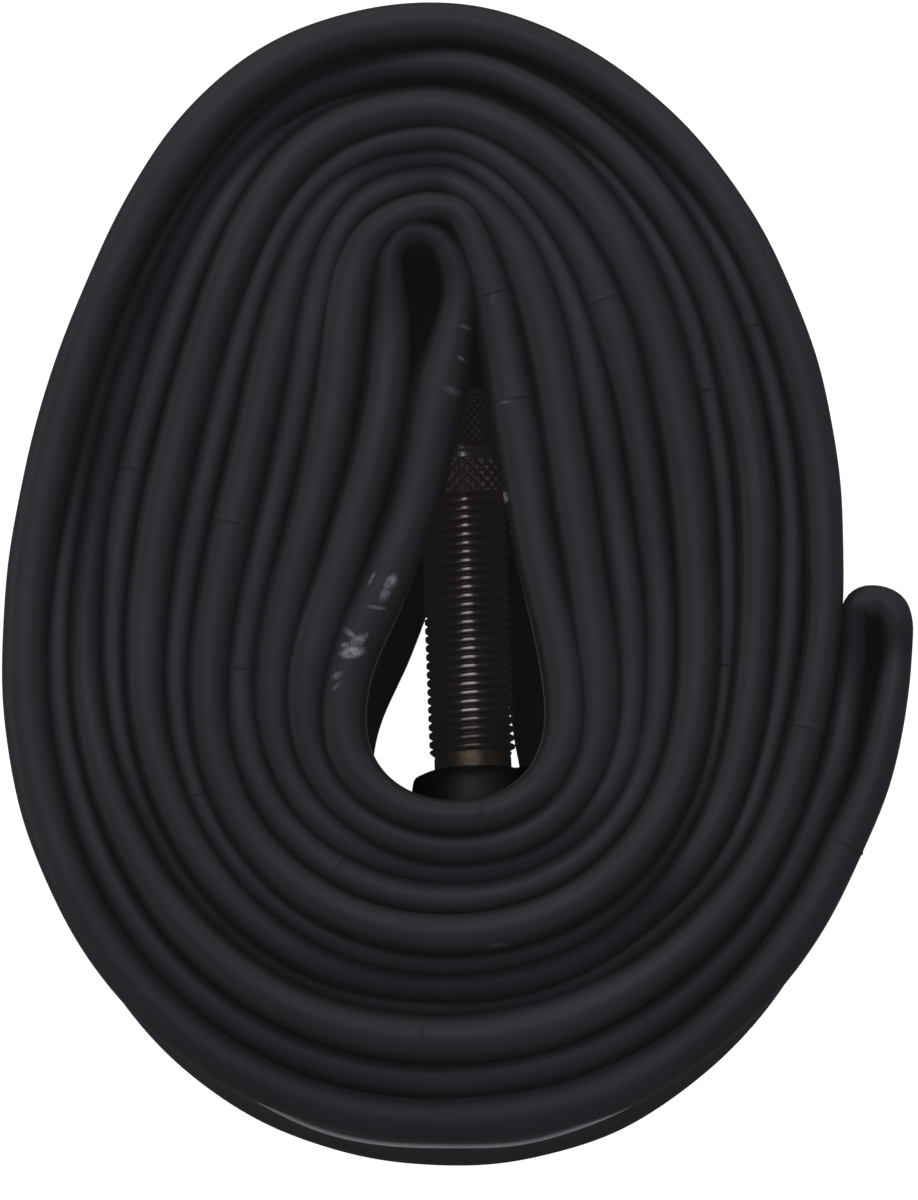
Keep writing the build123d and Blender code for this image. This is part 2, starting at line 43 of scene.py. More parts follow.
# ----------------------------------------------------------------- the tube's line
# The flattened tube is an endless strip, folded double and rolled up. Each row:
# plan position of the strip's upper edge (x, y), plan position of its middle
# (x, y), radius of the rounded folded edge and how far that edge sits below the
# top of the roll. Millimetres, in the row frame.
STRIP = np.array([
    -1.02,-22.47,-1.01,-22.33,1.43,0.00, -5.58,-21.38,-5.59,-21.24,1.48,0.00, -8.84,-18.79,-9.61,-19.05,1.73,0.00, -10.21,-15.89,-11.12,-15.89,1.98,0.00,
    -10.35,-12.18,-10.89,-12.20,2.16,0.00, -9.07,-7.35,-9.92,-7.43,2.24,0.00, -6.78,-2.76,-8.29,-2.83,2.30,0.00, -4.80,1.85,-6.92,1.77,2.24,0.00,
    -3.16,6.48,-5.94,6.36,2.36,0.00, -1.98,11.20,-5.40,11.08,2.42,0.00, -0.75,16.01,-4.82,15.87,2.40,0.00, 0.60,20.83,-3.77,20.67,1.70,0.00,
    0.76,25.66,-3.24,25.25,1.46,0.00, 0.15,26.95,-3.47,26.23,1.25,0.00, -0.36,27.74,-3.72,26.85,1.15,0.00, -1.04,28.29,-4.11,27.22,1.12,0.00,
    -2.00,28.60,-4.69,27.39,1.10,0.00, -2.78,28.65,-5.17,27.35,1.10,0.00, -3.66,28.33,-5.73,27.00,1.12,0.00, -4.32,27.65,-6.15,26.39,1.14,0.00,
    -4.80,26.80,-6.50,25.66,1.18,0.00, -5.03,25.48,-6.75,24.56,1.28,0.00, -5.03,23.28,-6.88,22.49,1.58,0.00, -5.27,18.30,-7.00,17.73,1.98,0.00,
    -5.98,13.30,-7.37,12.93,2.05,0.00, -7.21,8.37,-8.21,8.16,2.08,0.00, -8.72,3.73,-9.48,3.56,1.99,-0.00, -10.34,-0.95,-10.95,-1.06,2.04,-0.00,
    -12.07,-5.64,-12.47,-5.73,2.15,-0.02, -13.38,-10.45,-13.62,-10.52,1.99,-0.15, -13.37,-15.41,-13.51,-15.46,1.74,-0.50, -11.42,-19.93,-11.51,-19.92,1.53,-0.81,
    -8.12,-22.91,-8.22,-22.88,1.40,-0.83, -3.52,-24.76,-3.59,-24.72,1.34,-0.79, 1.43,-25.02,1.37,-24.96,1.34,-0.72, 6.13,-23.50,6.04,-23.42,1.41,-0.49,
    9.57,-20.33,9.46,-20.26,1.60,-0.26, 11.30,-16.23,11.22,-16.21,1.87,-0.09, 11.73,-11.27,11.70,-11.24,2.10,-0.01, 11.39,-6.29,11.40,-6.25,2.08,-0.00,
    10.85,-1.32,10.90,-1.28,1.92,-0.00, 10.31,3.64,10.38,3.66,1.97,-0.00, 9.78,8.61,9.87,8.65,2.17,-0.00, 9.24,13.59,9.37,13.64,2.24,-0.00,
    8.51,18.53,8.68,18.61,2.23,-0.02, 7.33,23.38,7.55,23.50,2.14,-0.08, 5.50,28.03,5.62,28.12,1.86,-0.19, 2.31,32.01,2.31,31.92,1.46,-0.37,
    -0.01,33.30,-0.06,33.04,1.30,-0.48, -2.59,33.23,-2.60,33.08,1.30,-0.56, -6.06,32.13,-6.06,31.99,1.38,-0.60, -8.85,29.57,-8.90,29.57,1.56,-0.51,
    -10.48,26.20,-10.67,26.32,1.72,-0.37, -11.82,21.39,-12.01,21.50,1.78,-0.24, -12.85,16.50,-12.99,16.57,1.74,-0.35, -14.01,11.63,-14.08,11.68,1.66,-0.80,
    -15.32,6.81,-15.33,6.83,1.62,-1.16, -16.66,1.99,-16.64,2.00,1.60,-1.27, -17.91,-2.85,-17.87,-2.85,1.61,-1.28, -18.85,-7.76,-18.79,-7.77,1.63,-1.18,
    -19.07,-12.74,-19.02,-12.72,1.61,-1.02, -18.18,-17.64,-18.13,-17.61,1.55,-0.94, -15.97,-22.08,-15.93,-22.06,1.50,-0.92, -12.55,-25.69,-12.51,-25.68,1.46,-0.92,
    -8.23,-28.16,-8.24,-28.13,1.42,-0.94, -3.41,-29.39,-3.42,-29.38,1.39,-0.97, 1.56,-29.40,1.56,-29.40,1.35,-0.99, 6.38,-28.14,6.38,-28.13,1.34,-1.02,
    10.63,-25.58,10.62,-25.56,1.37,-0.98, 13.90,-21.84,13.88,-21.81,1.44,-0.97, 15.96,-17.31,15.92,-17.32,1.52,-0.94, 16.96,-12.43,16.93,-12.43,1.57,-0.90,
    17.31,-7.44,17.28,-7.43,1.59,-0.93, 17.26,-2.45,17.21,-2.43,1.60,-0.95, 16.90,2.53,16.87,2.57,1.63,-0.78, 16.42,7.51,16.42,7.56,1.68,-0.35,
    15.74,12.46,15.75,12.53,1.77,-0.07, 14.84,17.38,14.85,17.46,1.84,-0.03, 13.54,22.20,13.56,22.27,1.81,-0.13, 11.65,26.82,11.66,26.90,1.71,-0.35,
    9.01,31.05,9.00,31.14,1.58,-0.63, 5.54,34.65,5.53,34.71,1.45,-0.86, 1.22,37.22,1.25,37.13,1.35,-1.00, -2.26,37.46,-2.15,37.41,1.33,-1.12,
    -7.20,36.30,-7.04,36.21,1.35,-1.14, -11.28,33.45,-11.08,33.42,1.44,-1.21, -14.27,29.48,-14.09,29.49,1.53,-1.25, -16.38,24.96,-16.24,24.96,1.60,-1.25,
    -18.00,20.23,-17.88,20.27,1.63,-1.23, -19.43,15.44,-19.33,15.47,1.63,-1.24, -20.78,10.62,-20.67,10.65,1.60,-1.29, -22.04,5.78,-21.94,5.81,1.58,-1.35,
    -23.19,0.92,-23.09,0.94,1.56,-1.39, -24.09,-4.00,-24.00,-3.98,1.54,-1.41, -24.58,-8.97,-24.49,-8.94,1.51,-1.42, -24.40,-13.96,-24.33,-13.92,1.46,-1.43,
    -23.36,-18.84,-23.31,-18.76,1.39,-1.42, -21.39,-23.42,-21.38,-23.31,1.34,-1.43, -18.50,-27.47,-18.50,-27.36,1.31,-1.52, -14.77,-30.78,-14.80,-30.64,1.29,-1.60,
    -10.40,-33.17,-10.44,-33.01,1.28,-1.68, -5.61,-34.55,-5.66,-34.35,1.26,-1.76, -0.64,-34.94,-0.71,-34.72,1.25,-1.80, 4.31,-34.36,4.22,-34.13,1.25,-1.81,
    9.02,-32.74,8.91,-32.52,1.25,-1.85, 13.26,-30.12,13.13,-29.90,1.24,-1.92, 16.79,-26.61,16.66,-26.42,1.25,-1.98, 19.48,-22.42,19.36,-22.27,1.28,-1.99,
    21.32,-17.78,21.21,-17.67,1.30,-1.95, 22.43,-12.91,22.33,-12.83,1.32,-1.89, 23.05,-7.95,22.97,-7.91,1.35,-1.83, 23.35,-2.96,23.28,-2.95,1.40,-1.84,
    23.43,2.04,23.37,2.02,1.46,-1.85, 23.19,7.03,23.14,6.98,1.51,-1.83, 22.63,12.00,22.60,11.91,1.55,-1.76, 21.82,16.93,21.80,16.80,1.57,-1.67,
    20.61,21.78,20.60,21.58,1.56,-1.62, 18.82,26.44,18.82,26.17,1.51,-1.64, 16.44,30.83,16.45,30.46,1.42,-1.72, 13.43,34.82,13.43,34.38,1.33,-1.85,
    9.81,38.24,9.82,37.70,1.25,-2.28, 5.57,40.86,5.61,40.28,1.20,-2.44, 0.85,42.36,0.91,41.73,1.17,-2.42, -4.12,42.25,-4.01,41.68,1.17,-2.36,
    -8.98,41.19,-8.81,40.57,1.19,-2.26, -13.32,38.79,-13.13,38.14,1.23,-2.04, -16.79,35.22,-16.64,34.65,1.31,-1.52, -19.58,31.08,-19.48,30.63,1.39,-1.20,
    -21.81,26.61,-21.78,26.25,1.45,-1.08, -23.67,21.97,-23.67,21.71,1.48,-1.05, -25.29,17.24,-25.33,17.06,1.49,-1.12, -26.76,12.46,-26.81,12.33,1.48,-1.21,
    -28.05,7.63,-28.11,7.54,1.46,-1.26, -29.05,2.74,-29.12,2.62,1.45,-1.28, -29.68,-2.22,-29.76,-2.33,1.44,-1.28, -29.99,-7.21,-30.04,-7.31,1.41,-1.29,
    -29.78,-12.20,-29.81,-12.30,1.38,-1.31, -28.86,-17.11,-28.86,-17.21,1.34,-1.39, -27.16,-21.80,-27.14,-21.91,1.30,-1.60, -24.79,-26.20,-24.75,-26.33,1.28,-1.81,
    -21.78,-30.18,-21.71,-30.33,1.26,-1.97, -18.11,-33.55,-18.06,-33.70,1.24,-2.09, -13.86,-36.15,-13.79,-36.34,1.23,-2.17, -9.16,-37.81,-9.12,-38.05,1.23,-2.21,
    -4.23,-38.60,-4.17,-38.90,1.23,-2.24, 0.76,-38.64,0.81,-38.97,1.22,-2.27, 5.70,-37.90,5.77,-38.23,1.22,-2.27, 10.41,-36.28,10.46,-36.60,1.22,-2.22,
    14.72,-33.77,14.78,-34.06,1.24,-2.08, 18.59,-30.62,18.64,-30.84,1.27,-1.84, 21.91,-26.89,21.92,-27.09,1.32,-1.55, 24.38,-22.56,24.41,-22.73,1.38,-1.46,
    26.09,-17.87,26.15,-18.01,1.42,-1.45, 27.33,-13.03,27.40,-13.14,1.46,-1.41, 28.21,-8.11,28.29,-8.19,1.49,-1.36, 28.74,-3.14,28.83,-3.21,1.50,-1.36,
    28.98,1.86,29.07,1.80,1.50,-1.45, 28.82,6.85,28.92,6.84,1.49,-1.56, 28.26,11.82,28.37,11.82,1.48,-1.64, 27.29,16.72,27.41,16.73,1.45,-1.65,
    25.89,21.52,26.04,21.54,1.41,-1.62, 24.05,26.16,24.23,26.22,1.35,-1.56, 21.73,30.59,21.92,30.68,1.30,-1.70, 18.85,34.66,19.04,34.82,1.25,-1.96,
    15.43,38.30,15.60,38.51,1.21,-2.16, 11.56,41.45,11.70,41.68,1.18,-2.27, 7.25,43.98,7.33,44.23,1.16,-2.38, 2.52,45.53,2.50,45.82,1.15,-2.45,
    -2.43,45.80,-2.54,46.14,1.15,-2.49, -7.37,45.09,-7.55,45.44,1.15,-2.50, -12.04,43.37,-12.33,43.72,1.15,-2.48, -16.16,40.57,-16.51,40.90,1.15,-2.44,
    -19.66,37.02,-20.03,37.32,1.16,-2.38, -22.62,33.00,-22.98,33.23,1.17,-2.33, -25.13,28.68,-25.45,28.88,1.19,-2.31, -27.30,24.17,-27.59,24.32,1.20,-2.30,
    -29.18,19.54,-29.43,19.64,1.22,-2.28, -30.77,14.80,-30.98,14.88,1.23,-2.23, -32.09,9.98,-32.26,10.04,1.24,-2.15, -33.18,5.10,-33.31,5.15,1.27,-2.00,
    -34.03,0.17,-34.12,0.21,1.31,-1.77, -34.54,-4.80,-34.59,-4.77,1.35,-1.57, -34.62,-9.79,-34.64,-9.77,1.40,-1.50, -34.18,-14.77,-34.18,-14.75,1.46,-1.40,
    -33.17,-19.66,-33.16,-19.64,1.51,-1.30, -31.62,-24.41,-31.60,-24.39,1.55,-1.21, -29.49,-28.93,-29.47,-28.90,1.59,-1.13, -26.72,-33.08,-26.70,-33.05,1.62,-1.06,
    -23.30,-36.72,-23.29,-36.70,1.64,-0.99, -19.34,-39.76,-19.33,-39.74,1.65,-0.90, -14.96,-42.15,-14.95,-42.14,1.65,-0.82, -10.26,-43.81,-10.25,-43.80,1.65,-0.78,
    -5.35,-44.72,-5.34,-44.72,1.65,-0.80, -0.36,-44.90,-0.35,-44.90,1.65,-0.85, 4.60,-44.35,4.61,-44.36,1.65,-0.91, 9.43,-43.10,9.44,-43.09,1.65,-0.93,
    14.00,-41.09,14.01,-41.08,1.65,-0.92, 18.21,-38.41,18.22,-38.39,1.64,-0.90, 22.00,-35.15,22.00,-35.13,1.63,-0.90, 25.30,-31.40,25.28,-31.37,1.61,-0.94,
    28.03,-27.23,28.00,-27.19,1.59,-0.97, 30.21,-22.73,30.17,-22.74,1.57,-0.91, 32.02,-17.99,31.96,-18.00,1.44,-0.71, 33.06,-13.13,33.08,-13.14,1.30,-0.53,
    33.87,-8.51,33.93,-8.53,1.22,-0.37, 34.06,-6.36,34.22,-6.67,1.28,-0.28, 34.44,-5.56,34.53,-6.05,1.38,-0.24, 35.27,-5.25,35.23,-5.79,1.44,-0.21,
    36.38,-5.25,36.17,-5.69,1.44,-0.18, 37.21,-5.89,36.91,-6.18,1.40,-0.15, 37.62,-6.95,37.34,-7.07,1.36,-0.13, 37.70,-8.00,37.50,-8.03,1.28,-0.10,
    37.59,-9.30,37.51,-9.29,1.27,-0.08, 37.22,-11.54,37.23,-11.54,1.36,-0.06, 36.07,-16.42,36.06,-16.42,1.56,-0.04, 34.55,-21.19,34.53,-21.18,1.68,-0.01,
    32.25,-25.76,32.23,-25.75,1.79,-0.00, 29.90,-30.17,29.88,-30.16,1.79,-0.00, 27.07,-34.28,27.04,-34.27,1.80,-0.00, 23.75,-38.01,23.72,-38.00,1.84,-0.00,
    19.99,-41.31,19.96,-41.29,1.90,0.00, 15.85,-44.09,15.81,-44.07,1.97,0.00, 11.33,-46.22,11.34,-46.18,2.00,0.00, 6.53,-47.58,6.54,-47.54,1.98,0.00,
    1.58,-48.25,1.60,-48.22,1.93,0.00, -3.41,-48.30,-3.40,-48.27,1.87,0.00, -8.37,-47.72,-8.36,-47.69,1.84,0.00, -13.21,-46.49,-13.20,-46.45,1.83,0.00,
    -17.81,-44.56,-17.80,-44.52,1.83,0.00, -22.07,-41.94,-22.06,-41.91,1.83,0.00, -25.92,-38.77,-25.91,-38.73,1.84,0.00, -29.27,-35.07,-29.26,-35.03,1.85,0.00,
    -32.04,-30.92,-32.02,-30.88,1.87,0.00, -34.23,-26.42,-34.20,-26.42,1.90,0.00, -35.84,-21.69,-35.82,-21.68,1.93,0.00, -36.90,-16.80,-36.89,-16.79,1.95,0.00,
    -37.44,-11.82,-37.43,-11.80,1.96,0.00, -37.48,-6.80,-37.48,-6.77,1.97,0.00, -37.09,-1.80,-37.10,-1.76,1.98,0.00, -36.35,3.16,-36.37,3.23,1.98,0.00,
    -35.30,8.07,-35.34,8.16,1.97,0.00, -34.01,12.91,-34.07,13.05,1.96,0.00, -32.49,17.69,-32.58,17.88,1.96,0.00, -30.71,22.37,-30.83,22.63,1.95,0.00,
    -28.64,26.92,-28.80,27.28,1.92,0.00, -26.31,31.38,-26.50,31.83,1.94,0.00, -23.56,35.60,-23.79,36.17,1.96,0.00, -20.33,39.48,-20.60,40.20,1.96,0.00,
    -16.54,42.82,-16.83,43.68,1.94,0.00, -12.19,45.35,-12.45,46.32,1.88,0.00, -7.40,46.88,-7.59,47.92,1.83,0.00, -2.40,47.48,-2.46,48.58,1.80,0.00,
    2.61,47.18,2.65,48.25,1.76,0.00, 7.44,45.74,7.54,46.72,1.71,0.00, 11.93,43.44,12.04,44.28,1.66,0.00, 16.03,40.49,16.13,41.17,1.63,0.00,
    19.67,37.00,19.79,37.51,1.61,0.00, 22.76,33.04,22.87,33.43,1.59,0.00, 25.35,28.76,25.42,29.05,1.66,0.00, 27.47,24.24,27.52,24.44,1.72,0.00,
    29.17,19.54,29.20,19.68,1.76,0.00, 30.43,14.70,30.45,14.80,1.77,0.00, 31.25,9.77,31.26,9.84,1.74,0.00, 31.66,4.79,31.67,4.84,1.69,0.00,
    31.67,-0.20,31.69,-0.18,1.65,0.00, 31.44,-5.19,31.44,-5.18,1.65,0.00, 30.73,-10.14,30.72,-10.14,1.66,0.00, 29.62,-15.01,29.61,-15.01,1.65,0.00,
    28.16,-19.79,28.16,-19.75,1.63,0.00, 26.25,-24.40,26.23,-24.36,1.61,0.00, 23.65,-28.67,23.62,-28.62,1.62,0.00, 20.35,-32.41,20.33,-32.37,1.69,0.00,
    16.52,-35.61,16.50,-35.58,1.79,0.00, 12.26,-38.21,12.24,-38.18,1.89,0.00, 7.63,-40.07,7.61,-40.04,1.96,0.00, 2.76,-41.13,2.73,-41.10,1.98,0.00,
    -2.23,-41.41,-2.25,-41.37,1.97,0.00, -7.20,-40.92,-7.17,-40.89,1.93,0.00, -12.03,-39.67,-12.00,-39.64,1.88,0.00, -16.57,-37.60,-16.54,-37.57,1.83,0.00,
    -20.66,-34.76,-20.63,-34.72,1.79,0.00, -24.19,-31.23,-24.16,-31.20,1.73,0.00, -27.07,-27.16,-27.05,-27.13,1.64,0.00, -29.33,-22.70,-29.31,-22.67,1.52,0.00,
    -30.97,-17.99,-30.96,-17.96,1.41,0.00, -31.96,-13.09,-31.96,-13.07,1.35,-0.02, -32.30,-8.11,-32.31,-8.09,1.32,-0.20, -32.11,-3.11,-32.13,-3.09,1.30,-0.37,
    -31.54,1.85,-31.56,1.87,1.28,-0.62, -30.64,6.77,-30.67,6.79,1.26,-0.74, -29.46,11.63,-29.48,11.65,1.27,-0.68, -28.06,16.43,-28.06,16.44,1.27,-0.83,
    -26.44,21.16,-26.41,21.17,1.23,-1.30, -24.56,25.79,-24.50,25.79,1.20,-1.64, -22.34,30.27,-22.25,30.26,1.17,-1.74, -19.63,34.46,-19.53,34.47,1.16,-1.72,
    -16.34,38.21,-16.25,38.25,1.16,-1.60, -12.36,41.20,-12.29,41.29,1.19,-1.43, -7.72,43.00,-7.68,43.18,1.23,-1.16, -2.79,43.72,-2.72,43.96,1.29,-0.50,
    2.16,43.50,2.27,43.68,1.34,-0.05, 6.85,41.83,6.97,42.02,1.37,-0.00, 11.04,39.14,11.20,39.36,1.37,-0.00, 14.74,35.79,14.89,35.99,1.37,-0.00,
    17.93,31.95,18.08,32.08,1.39,-0.00, 20.57,27.71,20.68,27.80,1.45,0.00, 22.62,23.15,22.69,23.22,1.54,0.00, 24.06,18.37,24.11,18.41,1.65,0.00,
    25.05,13.47,25.08,13.50,1.75,0.00, 25.72,8.52,25.73,8.54,1.78,0.00, 25.98,3.53,26.00,3.54,1.74,0.00, 25.85,-1.47,25.87,-1.46,1.68,0.00,
    25.48,-6.46,25.49,-6.45,1.63,0.00, 24.87,-11.42,24.88,-11.41,1.61,0.00, 23.89,-16.32,23.89,-16.31,1.57,-0.00, 22.37,-21.08,22.36,-21.05,1.52,-0.00,
    20.10,-25.51,20.09,-25.44,1.41,-0.00, 16.99,-29.41,16.98,-29.31,1.29,-0.44, 13.23,-32.69,13.20,-32.54,1.21,-1.13, 8.90,-35.15,8.84,-34.96,1.19,-1.16,
    4.13,-36.59,4.12,-36.38,1.17,-1.18, -0.84,-37.08,-0.84,-36.87,1.17,-1.18, -5.81,-36.73,-5.78,-36.53,1.21,-1.17, -10.65,-35.51,-10.59,-35.33,1.26,-0.82,
    -15.12,-33.31,-15.06,-33.15,1.30,-0.33, -19.02,-30.21,-18.93,-30.10,1.33,-0.09, -22.20,-26.37,-22.13,-26.29,1.37,-0.00, -24.62,-22.01,-24.56,-21.94,1.43,-0.00,
    -26.26,-17.29,-26.22,-17.25,1.53,-0.00, -27.11,-12.38,-27.07,-12.34,1.62,0.00, -27.18,-7.38,-27.16,-7.36,1.69,0.00, -26.73,-2.41,-26.71,-2.39,1.76,0.00,
    -25.93,2.53,-25.91,2.54,1.82,0.00, -24.83,7.41,-24.82,7.41,1.84,0.00, -23.54,12.24,-23.53,12.23,1.84,0.00, -22.09,17.02,-22.08,17.01,1.83,0.00,
    -20.49,21.76,-20.48,21.73,1.84,0.00, -18.69,26.42,-18.66,26.38,1.84,0.00, -16.46,30.89,-16.42,30.81,1.84,0.00, -13.55,34.94,-13.51,34.78,1.82,0.00,
    -9.68,38.03,-9.63,37.82,1.79,0.00, -4.97,39.57,-4.93,39.37,1.77,0.00, -0.00,39.92,-0.00,39.65,1.79,0.00, 4.44,38.52,4.43,38.34,1.87,0.00,
    8.62,35.83,8.58,35.67,1.97,0.00, 12.04,32.21,11.98,32.10,2.06,0.00, 14.72,28.00,14.66,27.91,2.14,0.00, 16.73,23.43,16.68,23.36,2.19,0.00,
    18.17,18.65,18.12,18.59,2.20,0.00, 19.17,13.75,19.14,13.71,2.16,0.00, 19.90,8.80,19.87,8.77,2.08,0.00, 20.35,3.83,20.33,3.79,2.00,0.00,
    20.52,-1.17,20.52,-1.16,1.93,0.00, 20.52,-6.16,20.51,-6.15,1.88,0.00, 20.17,-11.15,20.15,-11.13,1.86,0.00, 19.32,-16.07,19.29,-16.05,1.84,0.00,
    17.69,-20.78,17.65,-20.76,1.79,0.00, 15.08,-25.02,15.02,-24.99,1.73,0.00, 11.49,-28.47,11.47,-28.40,1.68,0.00, 7.15,-30.90,7.12,-30.83,1.67,0.00,
    2.35,-32.22,2.33,-32.15,1.67,0.00, -2.63,-32.43,-2.61,-32.36,1.67,0.00, -7.53,-31.56,-7.51,-31.49,1.66,0.00, -12.10,-29.58,-12.07,-29.51,1.64,0.00,
    -16.03,-26.53,-15.97,-26.49,1.64,0.00, -19.05,-22.58,-19.00,-22.54,1.64,0.00, -21.01,-18.00,-20.96,-17.97,1.67,0.00, -21.85,-13.09,-21.81,-13.09,1.72,0.00,
    -21.69,-8.10,-21.67,-8.12,1.77,0.00, -20.93,-3.16,-20.92,-3.18,1.77,0.00, -19.82,1.71,-19.84,1.70,1.74,-0.00, -18.57,6.55,-18.58,6.54,1.75,-0.00,
    -17.26,11.38,-17.28,11.37,1.81,-0.00, -15.98,16.22,-16.00,16.21,1.87,-0.03, -14.72,21.05,-14.73,21.05,1.82,-0.16, -13.25,25.83,-13.23,25.82,1.66,-0.41,
    -11.03,30.28,-10.96,30.25,1.47,-0.71, -7.52,33.80,-7.41,33.63,1.30,-1.32, -3.22,35.32,-3.17,35.09,1.24,-1.64, 1.46,35.12,1.36,34.80,1.29,-1.54,
    3.96,33.43,3.86,33.28,1.36,-1.28, 7.32,29.73,7.20,29.67,1.51,-1.13, 9.65,25.33,9.58,25.30,1.64,-0.79, 11.17,20.58,11.14,20.60,1.74,-0.40,
    12.17,15.68,12.16,15.71,1.77,-0.14, 12.90,10.73,12.90,10.76,1.72,-0.23, 13.53,5.77,13.50,5.80,1.64,-0.67, 14.02,0.80,13.99,0.82,1.61,-0.88,
    14.47,-4.17,14.42,-4.16,1.62,-0.94, 14.61,-9.16,14.56,-9.15,1.62,-1.12, 14.32,-14.15,14.24,-14.13,1.56,-1.25, 13.01,-18.94,12.94,-18.89,1.44,-1.26,
    10.26,-23.06,10.20,-22.99,1.31,-1.31, 6.22,-25.93,6.16,-25.85,1.24,-1.57, 1.43,-27.24,1.42,-27.16,1.23,-1.54, -3.53,-27.08,-3.54,-27.00,1.25,-1.84,
    -8.26,-25.54,-8.27,-25.44,1.30,-1.27, -12.28,-22.63,-12.29,-22.51,1.39,-0.84, -15.08,-18.55,-15.06,-18.44,1.51,-0.66, -16.29,-13.74,-16.28,-13.60,1.67,-0.36,
    -16.09,-8.76,-16.13,-8.64,1.83,-0.10, -15.03,-3.88,-15.13,-3.70,1.90,-0.01, -13.60,0.91,-13.76,1.17,1.86,-0.00, -12.14,5.69,-12.37,6.06,1.93,-0.00,
    -10.87,10.53,-11.17,11.03,2.13,0.00, -9.88,15.43,-10.28,16.12,2.23,0.00, -9.17,20.37,-9.66,21.30,2.22,0.00, -8.13,25.22,-8.54,26.36,2.05,0.00,
    -6.41,28.50,-6.52,29.40,1.66,0.00, -3.47,30.44,-3.30,31.05,1.40,0.00, -0.46,30.88,-0.19,31.20,1.36,0.00, 1.26,30.30,1.61,30.49,1.42,0.00,
    2.25,28.67,2.90,29.06,1.62,0.00, 2.97,26.46,4.02,26.96,1.88,0.00, 4.04,22.51,5.54,22.91,2.16,0.00, 4.83,17.62,6.43,17.91,2.22,0.00,
    5.46,12.66,6.99,12.87,2.25,0.00, 6.08,7.70,7.28,7.84,2.22,0.00, 6.59,2.72,7.51,2.83,1.99,0.00, 7.35,-2.20,8.03,-2.10,1.87,0.00,
    8.38,-7.09,8.81,-7.02,1.94,0.00, 8.98,-12.05,9.20,-12.00,1.95,0.00, 8.28,-16.94,8.31,-16.86,1.78,0.00, 5.93,-20.37,5.86,-20.24,1.58,0.00,
    3.15,-21.94,3.09,-21.79,1.48,0.00, -0.77,-22.48,-0.77,-22.34,1.43,0.00,
]).reshape(-1, 6)

HEIGHT = 44.0          # height of the roll
BAND = 42.0            # width of the flattened strip
WEB = 0.70             # half thickness of the flat part of the strip

# stem axis
AX, AZ = 0.84, 22.0
FACE_Y = -21.608       # the tube's face that the valve is bonded to


def spline_closed(t, y, period, tq):
    """Closed cubic spline through (t, y), evaluated at tq."""
    n = len(t)
    h = np.diff(np.r_[t, t[0] + period])
    a = np.zeros((n, n))
    b = np.zeros((n,) + y.shape[1:])
    for i in range(n):
        p, q = (i - 1) % n, (i + 1) % n
        a[i, p] += h[p]
        a[i, i] += 2 * (h[p] + h[i])
        a[i, q] += h[i]
        b[i] = 6 * ((y[q] - y[i]) / h[i] - (y[i] - y[p]) / h[p])
    m = np.linalg.solve(a, b)
    tt = np.mod(tq - t[0], period) + t[0]
    k = np.clip(np.searchsorted(t, tt, side="right") - 1, 0, n - 1)
    k1 = (k + 1) % n
    hk = h[k][:, None]
    u = (tt - t[k])[:, None]
    w = hk - u
    return (m[k] * w ** 3 + m[k1] * u ** 3) / (6 * hk) + (y[k] / hk - m[k] * hk / 6) * w + (y[k1] / hk - m[k1] * hk / 6) * u


def waves(x, lengths, amps, seed, period):
    """Sum of closed waves along the strip: smooth, seeded irregularity."""
    g = np.random.default_rng(seed)
    out = np.zeros_like(x)
    for le, am in zip(lengths, amps):
        for _ in range(3):
            k = max(1, round(period / (le * g.uniform(0.75, 1.3))))
            out += am / 1.7 * np.sin(2 * math.pi * k * x / period + g.uniform(0, 6.283))
    return out


def smooth01(x):
    x = np.clip(x, 0, 1)
    return x * x * (3 - 2 * x)


def new_mesh(name, verts, faces, smooth=True):
    me = bpy.data.meshes.new(name)
    verts = np.asarray(verts, dtype=np.float64) * MM
    faces = np.asarray(faces, dtype=np.int64)
    me.vertices.add(len(verts))
    me.vertices.foreach_set("co", verts.ravel())
    nl = faces.shape[1]
    me.loops.add(faces.size)
    me.loops.foreach_set("vertex_index", faces.ravel())
    me.polygons.add(len(faces))
    me.polygons.foreach_set("loop_start", np.arange(len(faces)) * nl)
    me.polygons.foreach_set("loop_total", np.full(len(faces), nl))
    me.polygons.foreach_set("use_smooth", np.full(len(faces), smooth))
    me.update(calc_edges=True)
    me.validate()
    ob = bpy.data.objects.new(name, me)
    bpy.context.scene.collection.objects.link(ob)
    return ob


def grid_faces(nu, nv, flip=False):
    """Quads of a torus-like grid, nu rings of nv points, closed both ways."""
    i = np.arange(nu)[:, None]
    j = np.arange(nv)[None, :]
    a = i * nv + j
    b = ((i + 1) % nu) * nv + j
    c = ((i + 1) % nu) * nv + (j + 1) % nv
    d = i * nv + (j + 1) % nv
    f = np.stack([a, b, c, d] if not flip else [a, d, c, b], axis=-1)
    return f.reshape(-1, 4)


# ----------------------------------------------------------------- camera
CAM = (-2.5702, -72.8352, 489.0)
TILT = math.radians(8.8)
ROLL = math.radians(-2.15666)
cam_data = bpy.data.cameras.new("camera")
cam_data.sensor_width = 36.0
cam_data.lens = 157.5
cam_data.clip_start = 0.01
cam_data.clip_end = 20.0
cam = bpy.data.objects.new("camera", cam_data)
bpy.context.scene.collection.objects.link(cam)
cr, sr = math.cos(ROLL), math.sin(ROLL)


def turn(x, y):
    return (cr * x - sr * y, sr * x + cr * y)


rx, ry = turn(1.0, 0.0)
right = Vector((rx, ry, 0.0))
fx, fy = turn(0.0, 1.0)
look = Vector((fx * math.sin(TILT), fy * math.sin(TILT), -math.cos(TILT)))
up = Vector((fx * math.cos(TILT), fy * math.cos(TILT), math.sin(TILT)))
from mathutils import Matrix
m = Matrix.Identity(4)
for i in range(3):
    m[i][0], m[i][1], m[i][2] = right[i], up[i], -look[i]
    m[i][3] = CAM[i] * MM
cam.matrix_world = m
bpy.context.scene.camera = cam

